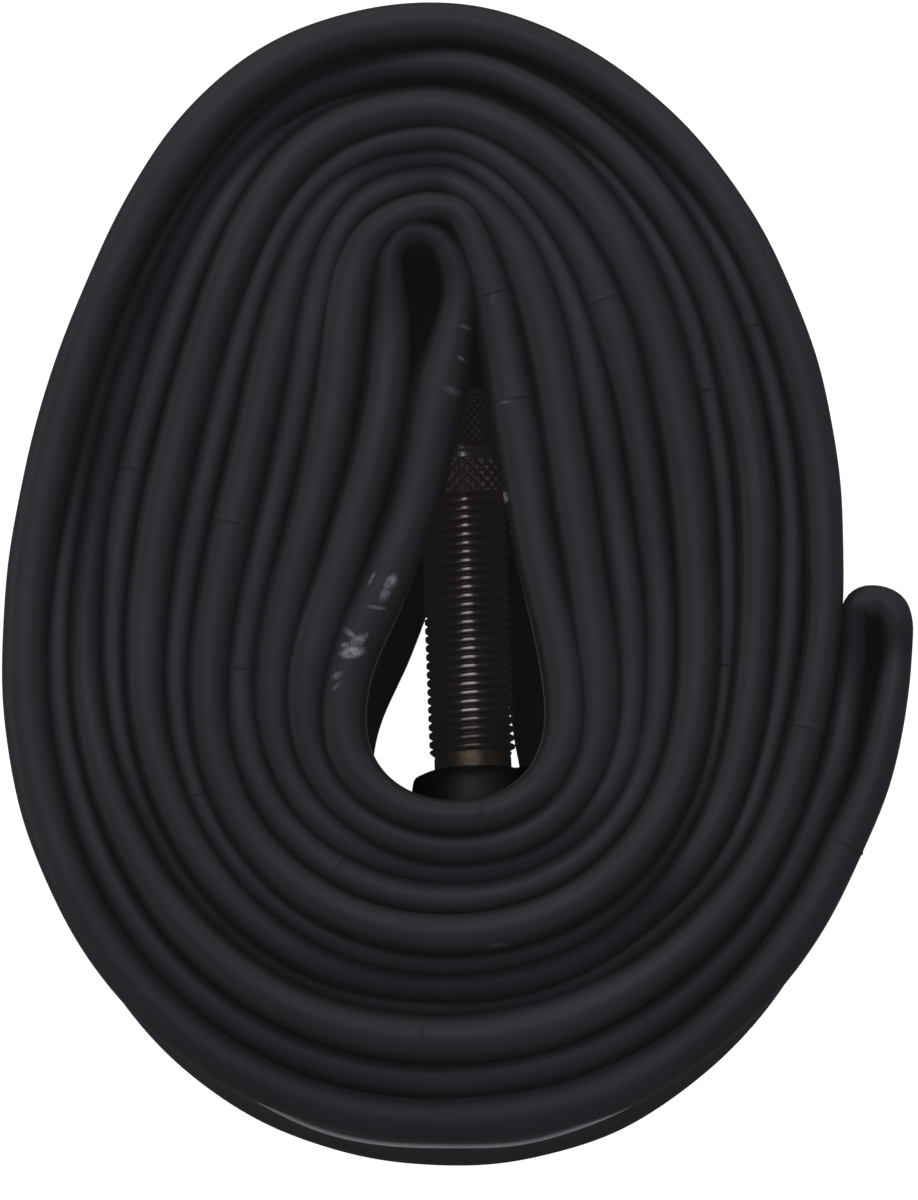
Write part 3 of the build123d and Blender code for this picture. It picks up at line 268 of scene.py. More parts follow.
# ----------------------------------------------------------------- materials
def material(name):
    mat = bpy.data.materials.new(name)
    mat.use_nodes = True
    nt = mat.node_tree
    bsdf = nt.nodes["Principled BSDF"]
    return mat, nt, bsdf


def node(nt, kind, **vals):
    n = nt.nodes.new(kind)
    for k, v in vals.items():
        if k in n.inputs:
            n.inputs[k].default_value = v
        else:
            setattr(n, k, v)
    return n


def coords(nt, scale=(1, 1, 1)):
    tc = node(nt, "ShaderNodeTexCoord")
    mp = node(nt, "ShaderNodeMapping")
    mp.inputs["Scale"].default_value = scale
    nt.links.new(tc.outputs["Object"], mp.inputs["Vector"])
    return mp.outputs["Vector"]


def noise(nt, vec, scale, detail=4.0, rough=0.55, dist=0.0):
    n = node(nt, "ShaderNodeTexNoise", Scale=scale, Detail=detail, Roughness=rough, Distortion=dist)
    nt.links.new(vec, n.inputs["Vector"])
    return n.outputs["Fac"]


def ramp(nt, fac, stops):
    r = node(nt, "ShaderNodeValToRGB")
    els = r.color_ramp.elements
    while len(els) < len(stops):
        els.new(0.5)
    for e, (p, c) in zip(els, stops):
        e.position = p
        e.color = c if len(c) == 4 else (*c, 1.0)
    nt.links.new(fac, r.inputs["Fac"])
    return r.outputs["Color"]


def maprange(nt, fac, a, b, c, d):
    n = node(nt, "ShaderNodeMapRange")
    n.inputs["From Min"].default_value = a
    n.inputs["From Max"].default_value = b
    n.inputs["To Min"].default_value = c
    n.inputs["To Max"].default_value = d
    nt.links.new(fac, n.inputs["Value"])
    return n.outputs["Result"]


def math_node(nt, op, a, b=None, clamp=False):
    n = node(nt, "ShaderNodeMath")
    n.operation = op
    n.use_clamp = clamp
    for i, v in enumerate((a, b)):
        if v is None:
            continue
        if isinstance(v, (int, float)):
            n.inputs[i].default_value = v
        else:
            nt.links.new(v, n.inputs[i])
    return n.outputs[0]


def mix_color(nt, fac, a, b, mode="MIX"):
    n = node(nt, "ShaderNodeMix")
    n.data_type = "RGBA"
    n.blend_type = mode
    for sock, v in ((n.inputs[0], fac), (n.inputs[6], a), (n.inputs[7], b)):
        if isinstance(v, (int, float)):
            sock.default_value = v
        elif isinstance(v, tuple):
            sock.default_value = v if len(v) == 4 else (*v, 1.0)
        else:
            nt.links.new(v, sock)
    return n.outputs[2]


def bump(nt, bsdf, layers):
    """Chain of bump nodes: (height, distance in mm, strength)."""
    prev = None
    for h, dist, strength in layers:
        b = node(nt, "ShaderNodeBump")
        b.inputs["Strength"].default_value = strength
        b.inputs["Distance"].default_value = dist * MM
        nt.links.new(h, b.inputs["Height"])
        if prev is not None:
            nt.links.new(prev, b.inputs["Normal"])
        prev = b.outputs["Normal"]
    nt.links.new(prev, bsdf.inputs["Normal"])


def rubber_material():
    mat, nt, b = material("butyl_rubber")
    v = coords(nt)
    big = noise(nt, v, 38.0, 3.0, 0.6, 0.4)
    mid = noise(nt, v, 210.0, 5.0, 0.6)
    fine = noise(nt, v, 1900.0, 3.0, 0.6)
    grain = noise(nt, v, 5200.0, 2.0, 0.5)
    col = ramp(nt, big, [(0.30, (0.0115, 0.0108, 0.0135)), (0.52, (0.0150, 0.0142, 0.0176)), (0.74, (0.0195, 0.0186, 0.0228))])
    dust = maprange(nt, mid, 0.50, 0.78, 0.0, 0.20)
    col = mix_color(nt, dust, col, (0.034, 0.034, 0.038))
    # talc caught on the surface in faint specks
    speck = maprange(nt, fine, 0.66, 0.80, 0.0, 0.30)
    col = mix_color(nt, speck, col, (0.048, 0.047, 0.050))
    # rubbed pale marks and a painted glint: soft dabs and streaks at fixed places on the roll
    tc = node(nt, "ShaderNodeTexCoord")
    grainy = maprange(nt, noise(nt, v, 1500.0, 4.0, 0.7, 0.6), 0.34, 0.62, 0.15, 1.0)
    mask = None
    for (cx, cy, cz, hl, hw, ang, amount) in MARKS_AND_GLINT:
        mp = node(nt, "ShaderNodeMapping")
        mp.vector_type = "TEXTURE"
        mp.inputs["Location"].default_value = (cx * MM, cy * MM, cz * MM)
        mp.inputs["Rotation"].default_value = (0.0, 0.0, math.radians(ang))
        mp.inputs["Scale"].default_value = (hl * MM, hw * MM, 3.5 * MM)
        nt.links.new(tc.outputs["Object"], mp.inputs["Vector"])
        ln = node(nt, "ShaderNodeVectorMath")
        ln.operation = "LENGTH"
        nt.links.new(mp.outputs["Vector"], ln.inputs[0])
        dab = math_node(nt, "MULTIPLY", maprange(nt, ln.outputs["Value"], 0.35, 1.15, 1.0, 0.0), amount)
        mask = dab if mask is None else math_node(nt, "MAXIMUM", mask, dab)
    mask = math_node(nt, "MULTIPLY", mask, grainy)
    col = mix_color(nt, mask, col, (0.50, 0.50, 0.52))
    # painted highlight: the moulded line is coloured pale
    line = node(nt, "ShaderNodeAttribute")
    line.attribute_name = "moulded_line_painted_highlight"
    col = mix_color(nt, math_node(nt, "MULTIPLY", line.outputs["Fac"], maprange(nt, mid, 0.3, 0.7, 0.75, 1.0)), col, (0.86, 0.82, 0.82))
    nt.links.new(col, b.inputs["Base Color"])
    rr = math_node(nt, "ADD", maprange(nt, mid, 0.3, 0.75, 0.44, 0.54), maprange(nt, big, 0.3, 0.7, -0.03, 0.04))
    nt.links.new(rr, b.inputs["Roughness"])
    b.inputs["IOR"].default_value = 1.50
    # painted glow: a faint emission lifts the rubber's darks though it is no lamp
    b.inputs["Emission Color"].default_value = (0.92, 0.90, 1.0, 1.0)
    b.inputs["Emission Strength"].default_value = 0.0049
    # painted shade: the shine is turned down where strands lie deep or sunk
    low = node(nt, "ShaderNodeAttribute")
    low.attribute_name = "deep_painted_shade"
    sheen = maprange(nt, noise(nt, coords(nt), 26.0, 3.0, 0.6, 0.5), 0.32, 0.68, 0.38, 0.50)
    nt.links.new(math_node(nt, "MULTIPLY", sheen, maprange(nt, low.outputs["Fac"], 0.0, 1.0, 1.0, 0.22)), b.inputs["Specular IOR Level"])
    bump(nt, b, [(mid, 0.10, 0.35), (fine, 0.030, 0.5), (grain, 0.012, 0.5)])
    return mat


def boss_material():
    mat, nt, b = material("moulded_rubber")
    v = coords(nt)
    mid = noise(nt, v, 320.0, 4.0, 0.6)
    fine = noise(nt, v, 3200.0, 3.0, 0.55)
    col = ramp(nt, mid, [(0.3, (0.009, 0.0088, 0.0092)), (0.7, (0.019, 0.0185, 0.0195))])
    nt.links.new(col, b.inputs["Base Color"])
    nt.links.new(maprange(nt, mid, 0.3, 0.7, 0.5, 0.62), b.inputs["Roughness"])
    bump(nt, b, [(mid, 0.10, 0.5), (fine, 0.03, 0.6)])
    return mat


def metal_material(name, dark, light, rough, stain, wear_scale=160.0, shaded_grooves=None):
    mat, nt, b = material(name)
    v = coords(nt)
    mid = noise(nt, v, wear_scale, 5.0, 0.6)
    fine = noise(nt, v, 1400.0, 3.0, 0.6)
    streak = noise(nt, coords(nt, (1.0, 14.0, 1.0)), 260.0, 4.0, 0.6)
    col = ramp(nt, mid, [(0.30, dark), (0.70, light)])
    col = mix_color(nt, maprange(nt, fine, 0.48, 0.72, 0.0, 0.55), col, stain)
    if shaded_grooves:
        # painted shade: the grooves of the thread and its lowest turns are darkened where the light does not reach them
        sep = node(nt, "ShaderNodeSeparateXYZ")
        nt.links.new(v, sep.inputs[0])
        dx = math_node(nt, "SUBTRACT", sep.outputs["X"], AX * MM)
        dz = math_node(nt, "SUBTRACT", sep.outputs["Z"], AZ * MM)
        rad = math_node(nt, "SQRT", math_node(nt, "ADD", math_node(nt, "MULTIPLY", dx, dx), math_node(nt, "MULTIPLY", dz, dz)))
        crest = maprange(nt, rad, shaded_grooves[0] * MM, shaded_grooves[1] * MM, 0.06, 1.0)
        lit_turns = maprange(nt, sep.outputs["Y"], (FACE_Y + 9.2) * MM, (FACE_Y + 10.6) * MM, 0.10, 1.0)
        col = mix_color(nt, math_node(nt, "MULTIPLY", crest, lit_turns), (0.060, 0.047, 0.042), col)
    nt.links.new(col, b.inputs["Base Color"])
    b.inputs["Metallic"].default_value = 1.0
    # painted glow: a faint reddish emission lifts the metal's darks though it is no lamp
    b.inputs["Emission Color"].default_value = (1.0, 0.86, 0.83, 1.0)
    b.inputs["Emission Strength"].default_value = 0.0074
    b.inputs["Coat Weight"].default_value = 0.9
    b.inputs["Coat Roughness"].default_value = 0.45
    r = math_node(nt, "ADD", maprange(nt, mid, 0.3, 0.7, rough * 0.85, rough * 1.25), maprange(nt, streak, 0.3, 0.7, -0.03, 0.05))
    nt.links.new(r, b.inputs["Roughness"])
    bump(nt, b, [(streak, 0.010, 0.4), (fine, 0.008, 0.5)])
    return mat


# white rubbed marks on the inner strand beside the stem, and a painted glint beside the nut (centre, half sizes in mm)
MARKS_AND_GLINT = [
    (-7.42, -1.83, 43.6, 0.726, 0.171, 60, 0.5),
    (-5.76, -2.19, 43.3, 0.855, 0.47, 53, 0.95),
    (-6.31, -3.23, 43.4, 0.855, 0.41, 60, 0.5),
    (-7.12, -4.35, 43.8, 0.812, 0.188, -8, 0.62),
    (-9.31, -8.14, 43.9, 1.111, 0.556, 8, 1.15),
    (-8.85, -7.27, 43.8, 0.94, 0.47, 38, 0.75),
    (-9.42, -6.49, 43.9, 0.855, 0.291, -42, 0.5),
    (-9.8, -7.51, 43.9, 0.513, 0.256, 0, 0.5),
    (-10.67, -10.12, 43.6, 0.556, 0.359, 20, 0.5),
    (-10.78, -11.07, 43.6, 0.513, 0.222, 45, 0.22),
    (-8.06, -6.75, 43.6, 0.427, 0.214, 60, 0.32),
    (1.0, 17.28, 43.3, 0.385, 0.137, -28, 0.75),
    (1.53, 19.98, 43.4, 0.726, 0.205, -12, 0.26),
    (0.11, 14.42, 43.2, 0.855, 0.385, -20, 0.16),
    # painted highlight: these three dabs stand for a glint on the strand's side beside the nut
    (4.15, 5.87, 38.0, 0.47, 0.385, -40, 1.6),
    (4.18, 5.26, 41.5, 0.427, 0.359, -40, 1.6),
    (4.24, 4.96, 43.2, 0.427, 0.342, -40, 1.5),
    (2.39, -33.71, 43.6, 1.111, 0.205, 3, 0.25),
    (3.97, 22.43, 43.5, 0.598, 0.171, 80, 0.14),
    (4.65, 13.21, 43.6, 0.684, 0.188, 8, 0.2),
]

rubber = rubber_material()
boss_rubber = boss_material()
stem_metal = metal_material("stem_plated", (0.27, 0.225, 0.20), (0.45, 0.38, 0.34), 0.18, (0.17, 0.13, 0.11), shaded_grooves=(3.60, 3.78))
neck_brass = metal_material("stem_brass", (0.05, 0.033, 0.016), (0.24, 0.165, 0.07), 0.46, (0.05, 0.035, 0.02), 620.0)
plug_metal = metal_material("plug_plated", (0.58, 0.55, 0.52), (0.80, 0.78, 0.75), 0.25, (0.45, 0.42, 0.38))
nut_metal = metal_material("nut_plated", (0.13, 0.10, 0.09), (0.30, 0.25, 0.225), 0.40, (0.15, 0.085, 0.07))
cap_metal = metal_material("cap_plated", (0.085, 0.065, 0.06), (0.17, 0.14, 0.13), 0.42, (0.12, 0.062, 0.052))

# ----------------------------------------------------------------- rolled tube
top = STRIP[:, 0:2]
mid = STRIP[:, 2:4]
chord = np.hypot(*(np.roll(0.5 * (top + mid), -1, 0) - 0.5 * (top + mid)).T)
param = np.r_[0, np.cumsum(chord)][:-1]
PERIOD = float(chord.sum())

STEP = 0.55
# samples lie closer together where the strip folds back on itself
fine_s = np.arange(0, PERIOD, 0.05)
fp = spline_closed(param, STRIP, PERIOD, fine_s)[:, 0:4]
curv = np.zeros(len(fine_s))
for c0 in (0, 2):
    q = fp[:, c0:c0 + 2]
    d1 = (np.roll(q, -4, 0) - np.roll(q, 4, 0)) / 0.4
    d2 = (np.roll(q, -4, 0) + np.roll(q, 4, 0) - 2 * q) / 0.04
    curv = np.maximum(curv, np.abs(d1[:, 0] * d2[:, 1] - d1[:, 1] * d2[:, 0]) / np.maximum((d1 ** 2).sum(1), 1e-6) ** 1.5)
dens = 1.0 / np.clip(0.13 / np.maximum(curv, 1e-6), 0.10, STEP)
dens = np.convolve(np.r_[dens[-20:], dens, dens[:20]], np.ones(41) / 41, mode="valid")
cum = np.r_[0, np.cumsum(dens * 0.05)]
base_s = np.interp(np.arange(0, cum[-1] - 0.3, 1.0), cum, np.r_[fine_s, PERIOD])
# fine raised mould lines that cross the strip
VENT = np.array([0.874685, 0.119513, 0.255503, 0.367495, 0.243508, 0.618934, 0.491150, 0.747268, 0.998919, 0.978917, 0.974144, 0.298237, 0.129558, 0.458555, 0.165939, 0.210364, 0.271098, 0.641952]) * PERIOD
extra = (VENT[:, None] + np.array([-0.36, -0.22, -0.12, -0.05, 0.05, 0.12, 0.22, 0.36])[None, :]).ravel()
keep = np.ones(len(base_s), bool)
for vs in VENT:
    keep &= np.abs(base_s - vs) > 0.42
S = np.sort(np.mod(np.r_[base_s[keep], extra], PERIOD))
vent = np.zeros_like(S)
for vs in VENT:
    vent = np.maximum(vent, np.exp(-((S - vs) / 0.13) ** 2))

ev = spline_closed(param, STRIP, PERIOD, S)
P_top, P_mid, RAD, DZ = ev[:, 0:2], ev[:, 2:4], ev[:, 4], ev[:, 5]

# thin strands lie low between wide ones; their shine is also turned down, as painted shade
LOW_AND_SHADED = smooth01((1.38 - RAD) / 0.18) * ((S > 18.0) & (S < PERIOD - 12.0)) * (np.abs(S - 58.0) > 22.0)
DZ = DZ - LOW_AND_SHADED * np.where(DZ < -2.0, 0.75, 0.55)


def window(a, b, ramp):
    return smooth01((S - a) / ramp) * smooth01((b - S) / ramp)


# the two outer strands sink a little along the lower end of the roll
sunk_b, sunk_c = window(868.0, 952.0, 26.0), window(984.0, 1074.0, 26.0)
DZ = DZ - 1.1 * sunk_b - 0.55 * sunk_c
# ... and the shine of these sunk strands and of the innermost fold is turned down, as painted shade
LOW_AND_SHADED = np.maximum.reduce([LOW_AND_SHADED, 0.62 * sunk_b, 0.42 * sunk_c, 0.58 * window(50.0, 70.0, 5.0)])

# gentle irregularity of a hand-rolled tube
RAD = RAD * (1 + waves(S, [34, 13], [0.020, 0.014], 11, PERIOD))
lift = waves(S, [90, 38, 17], [0.16, 0.10, 0.05], 12, PERIOD)
DZ = np.minimum(DZ + lift - 0.12, 0.0)


def heading(p):
    d = np.roll(p, -1, 0) - np.roll(p, 1, 0)
    return d / np.maximum(np.hypot(d[:, 0], d[:, 1]), 1e-9)[:, None]


def turning(p):
    t = heading(p)
    ds = np.hypot(*(np.roll(p, -1, 0) - np.roll(p, 1, 0)).T)
    c = np.roll(t, 1, 0)[:, 0] * np.roll(t, -1, 0)[:, 1] - np.roll(t, 1, 0)[:, 1] * np.roll(t, -1, 0)[:, 0]
    return c / np.maximum(ds, 1e-6)


bend = np.abs(turning(P_top))
kern = np.hanning(15)
kern /= kern.sum()
bend = np.convolve(np.r_[bend[-7:], bend, bend[:7]], kern, mode="valid")
crease_mask = smooth01((bend - 0.10) / 0.25)
crease = crease_mask * (waves(S, [3.1, 2.0], [0.05, 0.03], 13, PERIOD) - 0.03)

ZT = HEIGHT + DZ - RAD                 # height of the centre of the upper rounded edge
ZB = np.clip(HEIGHT - BAND + DZ, 0.02, None) + RAD   # and of the lower one


NA = 11                                # points round each rounded edge
levels = []                            # (kind, parameter)

rings = []


def centre_at(z):
    """Plan position and left normal of the strip at height z (per sample)."""
    zz = (z - 0.5 * HEIGHT)
    b = 1.0 - smooth01((np.abs(zz) - 6.5) / 10.5)
    c = P_top + (P_mid - P_top) * b[:, None]
    c = c - np.stack([lean * smooth01((17.5 - z) / 12.0), 0 * lean], axis=1)
    t = heading(c)
    return c, np.stack([-t[:, 1], t[:, 0]], axis=1)


# right of the stem the lower half of the strip leans in towards it
LEAN_S = PERIOD * np.array([-0.0190, -0.0150, -0.0118, -0.0086, -0.0062, -0.0045, -0.0022, 0.0]) 
LEAN_A = np.array([0.0, 1.0, 1.9, 2.1, 1.45, 0.75, 0.20, 0.0])
s_wrap = np.where(S > 0.5 * PERIOD, S - PERIOD, S)
lean = np.interp(s_wrap, LEAN_S, LEAN_A, left=0.0, right=0.0)
lean_k = np.hanning(9) / np.hanning(9).sum()
lean = np.convolve(np.r_[lean[-4:], lean, lean[:4]], lean_k, mode="valid")


def edge_swell(dist):
    """How the flat strip swells towards its folded edge."""
    return np.exp(-(np.clip(dist, 0, None) / 3.4) ** 1.8)


web_a = waves(S, [55, 24, 11], [0.16, 0.10, 0.05], 21, PERIOD)
web_b = waves(S, [60, 20], [0.14, 0.08], 22, PERIOD)


def span_mask(a, b, ramp):
    """1 along the strip between two plan points on its line, fading out at both ends."""
    sa, sb = (S[np.argmin(np.hypot(*(P_top - np.array(p)).T))] for p in (a, b))
    return smooth01((S - sa) / ramp) * smooth01((sb - S) / ramp)


# the outermost strand bulges low down where the roll is broadest below, and
# carries the tube's moulded line there
OUTER = span_mask((33.5, -22.0), (-34.5, -25.0), 34.0)
# the same line, with its painted highlight, shows beside the valve, under the edge of the innermost strand
INNER = smooth01((30.0 - np.abs(s_wrap)) / 8.0) * smooth01((np.abs(s_wrap) - 2.0) / 5.0)
LINE_Z = 15.0
line_out = (np.einsum("ij,ij->i", centre_at(np.full(len(S), 15.0))[1], P_top) > 0)
SIDE_LEVELS = [("w", 0.0), ("w", 0.035), ("w", 0.09), ("w", 0.16), ("w", 0.235), ("z", -0.75), ("z", -0.24), ("z", -0.08),
               ("z", 0.08), ("z", 0.24), ("z", 0.75), ("w", 0.46), ("w", 0.56), ("w", 0.66), ("w", 0.76), ("w", 0.85),
               ("w", 0.92), ("w", 0.965), ("w", 0.99), ("w", 1.0)]
pale = []                              # how much each ring point carries a line's painted highlight


def side_points(sign, upward):
    out = []
    outward_side = np.where(line_out, 1.0, -1.0) * sign > 0
    for kind, u in (SIDE_LEVELS if upward else SIDE_LEVELS[::-1]):
        if kind == "w":
            z = ZB + (ZT - ZB) * u
        else:
            z = np.full(len(S), LINE_Z + u)
        u = np.clip((z - ZB) / (ZT - ZB), 0, 1)
        swell = edge_swell(ZT - z) + edge_swell(z - ZB)
        q = WEB + (RAD - WEB) * np.clip(swell, 0, 1)
        q = q + vent * 0.10 + crease * np.clip(swell, 0, 1)
        shift = (web_a * np.sin(math.pi * u) + web_b * np.sin(2 * math.pi * u)) * 0.9
        outer = OUTER * outward_side
        q = q + outer * 0.08 * np.exp(-((z - 7.0) / 8.5) ** 2)
        on_line = np.exp(-((z - LINE_Z) / 0.27) ** 2)
        q = q + outer * 0.42 * on_line
        at_edge = (np.abs(z - ZT + 0.35) < 0.5) * ~outward_side
        q = q + INNER * 0.07 * at_edge
        # painted highlight along the moulded line, on the outer face and beside the valve
        pale.append(outer * np.minimum(1.25 * on_line, 1) + 0.20 * INNER * at_edge)
        c, n = centre_at(z)
        p = c + n * (sign * q + shift)[:, None]
        out.append(np.column_stack([p, z]))
    return out


def edge_points(upper):
    out = []
    rr = RAD + vent * 0.10 + crease
    for k in range(1, NA):
        a = math.pi * k / NA
        pale.append(np.zeros(len(S)))
        if upper:
            z = ZT + rr * math.sin(a)
            q = rr * math.cos(a)
            c, n = centre_at(ZT)
        else:
            z = np.maximum(ZB - rr * math.sin(a), 0.0)   # nothing pokes through the table
            q = -rr * math.cos(a)
            c, n = centre_at(ZB)
        out.append(np.column_stack([c + n * q[:, None], z]))
    return out


loop = side_points(+1, True) + edge_points(True) + side_points(-1, False) + edge_points(False)
V = np.stack(loop, axis=1)
nu, nv = V.shape[0], V.shape[1]
tube = new_mesh("rolled_tube", V.reshape(-1, 3), grid_faces(nu, nv))
shade_attr = tube.data.attributes.new("deep_painted_shade", "FLOAT", "POINT")
shade_attr.data.foreach_set("value", np.repeat(LOW_AND_SHADED, nv).astype(np.float32))
att = tube.data.attributes.new("moulded_line_painted_highlight", "FLOAT", "POINT")
att.data.foreach_set("value", np.stack(pale, axis=1).reshape(-1).astype(np.float32))


def outward(ob):
    """Makes the faces of a closed mesh look outwards."""
    me = ob.data
    n = len(me.polygons)
    co = np.zeros(len(me.vertices) * 3)
    me.vertices.foreach_get("co", co)
    co = co.reshape(-1, 3)
    li = np.zeros(len(me.loops), dtype=np.int64)
    me.loops.foreach_get("vertex_index", li)
    q = li.reshape(n, -1)
    a, b, c, d = co[q[:, 0]], co[q[:, 1]], co[q[:, 2]], co[q[:, -1]]
    vol = np.einsum("ij,ij->i", a, np.cross(b, c)).sum() + np.einsum("ij,ij->i", a, np.cross(c, d)).sum()
    if vol < 0:
        me.flip_normals()
    return ob


outward(tube)
tube.data.materials.append(rubber)
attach(tube, "tube")
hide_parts("tube_body")

# ----------------------------------------------------------------- turned pieces
def lathe(name, profile, segs, relief=None, smooth=True):
    """Closed turned piece about the stem's axis.

    profile: closed list of (radius, v, tag); relief(theta, v, tag) gives a
    change of radius on the points whose tag is not 0."""
    th = np.arange(segs) * 2 * math.pi / segs
    r = np.array([p[0] for p in profile], float)[:, None] + np.zeros((1, segs))
    v = np.array([p[1] for p in profile], float)[:, None] + np.zeros((1, segs))
    tag = np.array([p[2] if len(p) > 2 else 0 for p in profile])
    if relief is not None:
        tt = th[None, :] + np.zeros_like(v)
        for k in np.unique(tag[tag != 0]):
            rows_ = tag == k
            r[rows_] += relief(tt[rows_], v[rows_], k)
    x = AX + r * np.cos(th)[None, :]
    z = AZ - r * np.sin(th)[None, :]
    y = FACE_Y + v
    verts = np.stack([x, y, z], axis=-1).reshape(-1, 3)
    ob = new_mesh(name, verts, grid_faces(len(profile), segs), smooth)
    return outward(ob)


def run(r0, v0, r1, v1, n, tag=0):
    return [(r0 + (r1 - r0) * k / n, v0 + (v1 - v0) * k / n, tag) for k in range(n)]


PITCH = 0.794


def thread(depth, v0, v1, fade=0.5):
    def f(th, v, k):
        ph = v / PITCH - th / (2 * math.pi)
        ph = ph - np.floor(ph)
        prof = np.clip((1 - np.abs(2 * ph - 1) - 0.06) / 0.60, 0, 1)
        fd = smooth01((v - v0) / fade) * smooth01((v1 - v) / fade)
        return depth * prof * fd
    return f


def knurl(count, pitch, depth, v0, v1, fade=0.28):
    def f(th, v, k):
        a = th * count / (2 * math.pi)
        u1 = a + v / pitch
        u2 = a - v / pitch
        t1 = 1 - np.abs(2 * (u1 - np.floor(u1)) - 1)
        t2 = 1 - np.abs(2 * (u2 - np.floor(u2)) - 1)
        h = np.minimum(np.clip(t1 * 1.35, 0, 1), np.clip(t2 * 1.35, 0, 1))
        fd = smooth01((v - v0) / fade) * smooth01((v1 - v) / fade)
        return depth * (h - 1.0) * fd
    return f


# stem: foot in the rubber, plain brass neck, rolled thread, conical seat
core_r, depth = 3.40, 0.45
stem_prof = (run(2.0, 1.5, 4.0, 1.5, 4) + run(4.0, 1.5, 4.0, 2.3, 2) + run(4.0, 2.3, 3.45, 2.3, 2)
             + run(3.45, 2.3, 3.45, 6.5, 14) + run(3.45, 6.5, core_r, 6.8, 3)
             + run(core_r, 6.8, core_r, 31.7, 520, 1) + run(core_r, 31.7, 3.1, 32.0, 3)
             + run(3.1, 32.0, 2.55, 32.0, 3) + run(2.55, 32.0, 2.0, 30.4, 6) + run(2.0, 30.4, 2.0, 1.5, 30))
stem = lathe("threaded_stem", stem_prof, 96, thread(depth, 6.7, 31.9, 0.6))
stem.data.materials.append(stem_metal)
stem.data.materials.append(neck_brass)
segs = 96
nrow = len(stem_prof)
mi = np.zeros(len(stem.data.polygons), dtype=np.int32)
for row, p in enumerate(stem_prof):
    if p[0] > 3.3 and 2.2 < p[1] < 6.85:
        mi[row * segs:(row + 1) * segs] = 1
stem.data.polygons.foreach_set("material_index", mi)
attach(stem, "tube")
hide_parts("valve_stem")

# rubber boss with its skirt lying on the curved face of the tube
near = (np.abs(P_mid[:, 0] - AX) < 11) & (P_mid[:, 1] < -10.0)
near &= (S < 18) | (S > PERIOD - 18)
c0, n0 = centre_at(np.full(len(S), AZ))
inner_side = -1.0 if ((c0 + n0 * 0.8)[near][:, 1].mean() < c0[near][:, 1].mean()) else 1.0
face_line = (c0 + n0 * (inner_side * WEB))[near]
order = np.argsort(face_line[:, 0])
face_x, face_y = face_line[order, 0], face_line[order, 1]


def face_height(x):
    return np.interp(x, face_x, face_y) - FACE_Y


boss_prof = ([(2.0, 1.0), (2.0, 4.8), (3.2, 5.45), (3.46, 5.58)]
             + [(3.66, 5.57), (3.95, 5.50), (4.40, 5.34), (4.85, 5.12), (5.18, 4.84), (5.40, 4.48), (5.52, 4.05),
                (5.60, 3.5), (5.68, 2.9), (5.80, 2.35), (6.05, 1.85), (6.35, 1.5), (6.7, 1.18), (7.3, 1.0), (7.9, 0.86),
                (8.4, 0.68), (8.75, 0.44), (8.95, 0.16), (9.0, -0.12), (8.6, -0.3), (6.0, -0.3), (3.0, 0.4)])
bn = 96
bth = np.arange(bn) * 2 * math.pi / bn
bv = []
for r, v in boss_prof:
    xx = AX + r * np.cos(bth)
    zz = AZ - r * np.sin(bth)
    lay = smooth01((r - 4.6) / 1.6)
    yy = FACE_Y + v + lay * face_height(xx)
    # the skirt wraps round where the tube's face turns up steeply
    wob = 1 + 0.012 * np.sin(3 * bth + 0.7) + 0.008 * np.sin(7 * bth + 2.0)
    bv.append(np.stack([AX + (xx - AX) * wob, yy, AZ + (zz - AZ) * wob], axis=-1))
bv = np.stack(bv, axis=0)
boss = outward(new_mesh("valve_boss", bv.reshape(-1, 3), grid_faces(len(boss_prof), bn)))
boss.data.materials.append(boss_rubber)
sub = boss.modifiers.new("smooth", "SUBSURF")
sub.levels = 1
sub.render_levels = 1
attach(boss, "tube")
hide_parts("valve_base")

# plug: spigot, cone, flange, bright neck and threaded nipple
plug_prof = (run(0.5, 22.4, 0.5, 19.0, 4) + run(0.5, 19.0, 0.85, 19.0, 2) + run(0.85, 19.0, 1.05, 19.2, 2)
             + run(1.05, 19.2, 1.05, 28.5, 12) + run(1.05, 28.5, 1.93, 28.5, 3) + run(1.93, 28.5, 1.93, 30.4, 5)
             + run(1.93, 30.4, 2.48, 32.0, 5) + run(2.48, 32.0, 3.65, 32.0, 4) + run(3.65, 32.0, 3.65, 32.5, 3)
             + run(3.65, 32.5, 3.0, 32.5, 3) + run(3.0, 32.5, 3.0, 34.1, 10) + run(3.0, 34.1, 2.9, 34.3, 3)
             + run(2.9, 34.3, 2.7, 34.4, 2) + run(2.7, 34.4, 1.95, 34.4, 4)
             + run(1.95, 34.4, 1.95, 38.7, 84, 1) + run(1.95, 38.7, 1.75, 38.8, 2) + run(1.75, 38.8, 0.5, 38.8, 5)
             + run(0.5, 38.8, 0.5, 22.4, 18))
plug = lathe("valve_plug", plug_prof, 80, thread(0.25, 34.5, 38.75, 0.4))
plug.data.materials.append(plug_metal)
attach(plug, "core")
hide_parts("core_plug")

# union nut with diamond knurling
nut_prof = (run(3.93, 30.1, 4.62, 30.1, 4) + run(4.62, 30.1, 4.88, 30.24, 5) + run(4.9, 30.24, 4.9, 33.16, 54, 1)
            + run(4.88, 33.16, 4.62, 33.3, 5) + run(4.62, 33.3, 3.2, 33.3, 5) + run(3.2, 33.3, 3.07, 33.2, 2)
            + run(3.07, 33.2, 3.07, 32.55, 4) + run(3.07, 32.55, 3.93, 32.55, 4) + run(3.93, 32.55, 3.93, 30.1, 10))
nut = lathe("knurled_union_nut", nut_prof, 384, knurl(30, 1.03, 0.26, 30.16, 33.24, 0.16))
nut.data.materials.append(nut_metal)
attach(nut, "nut")
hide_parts("union_nut")

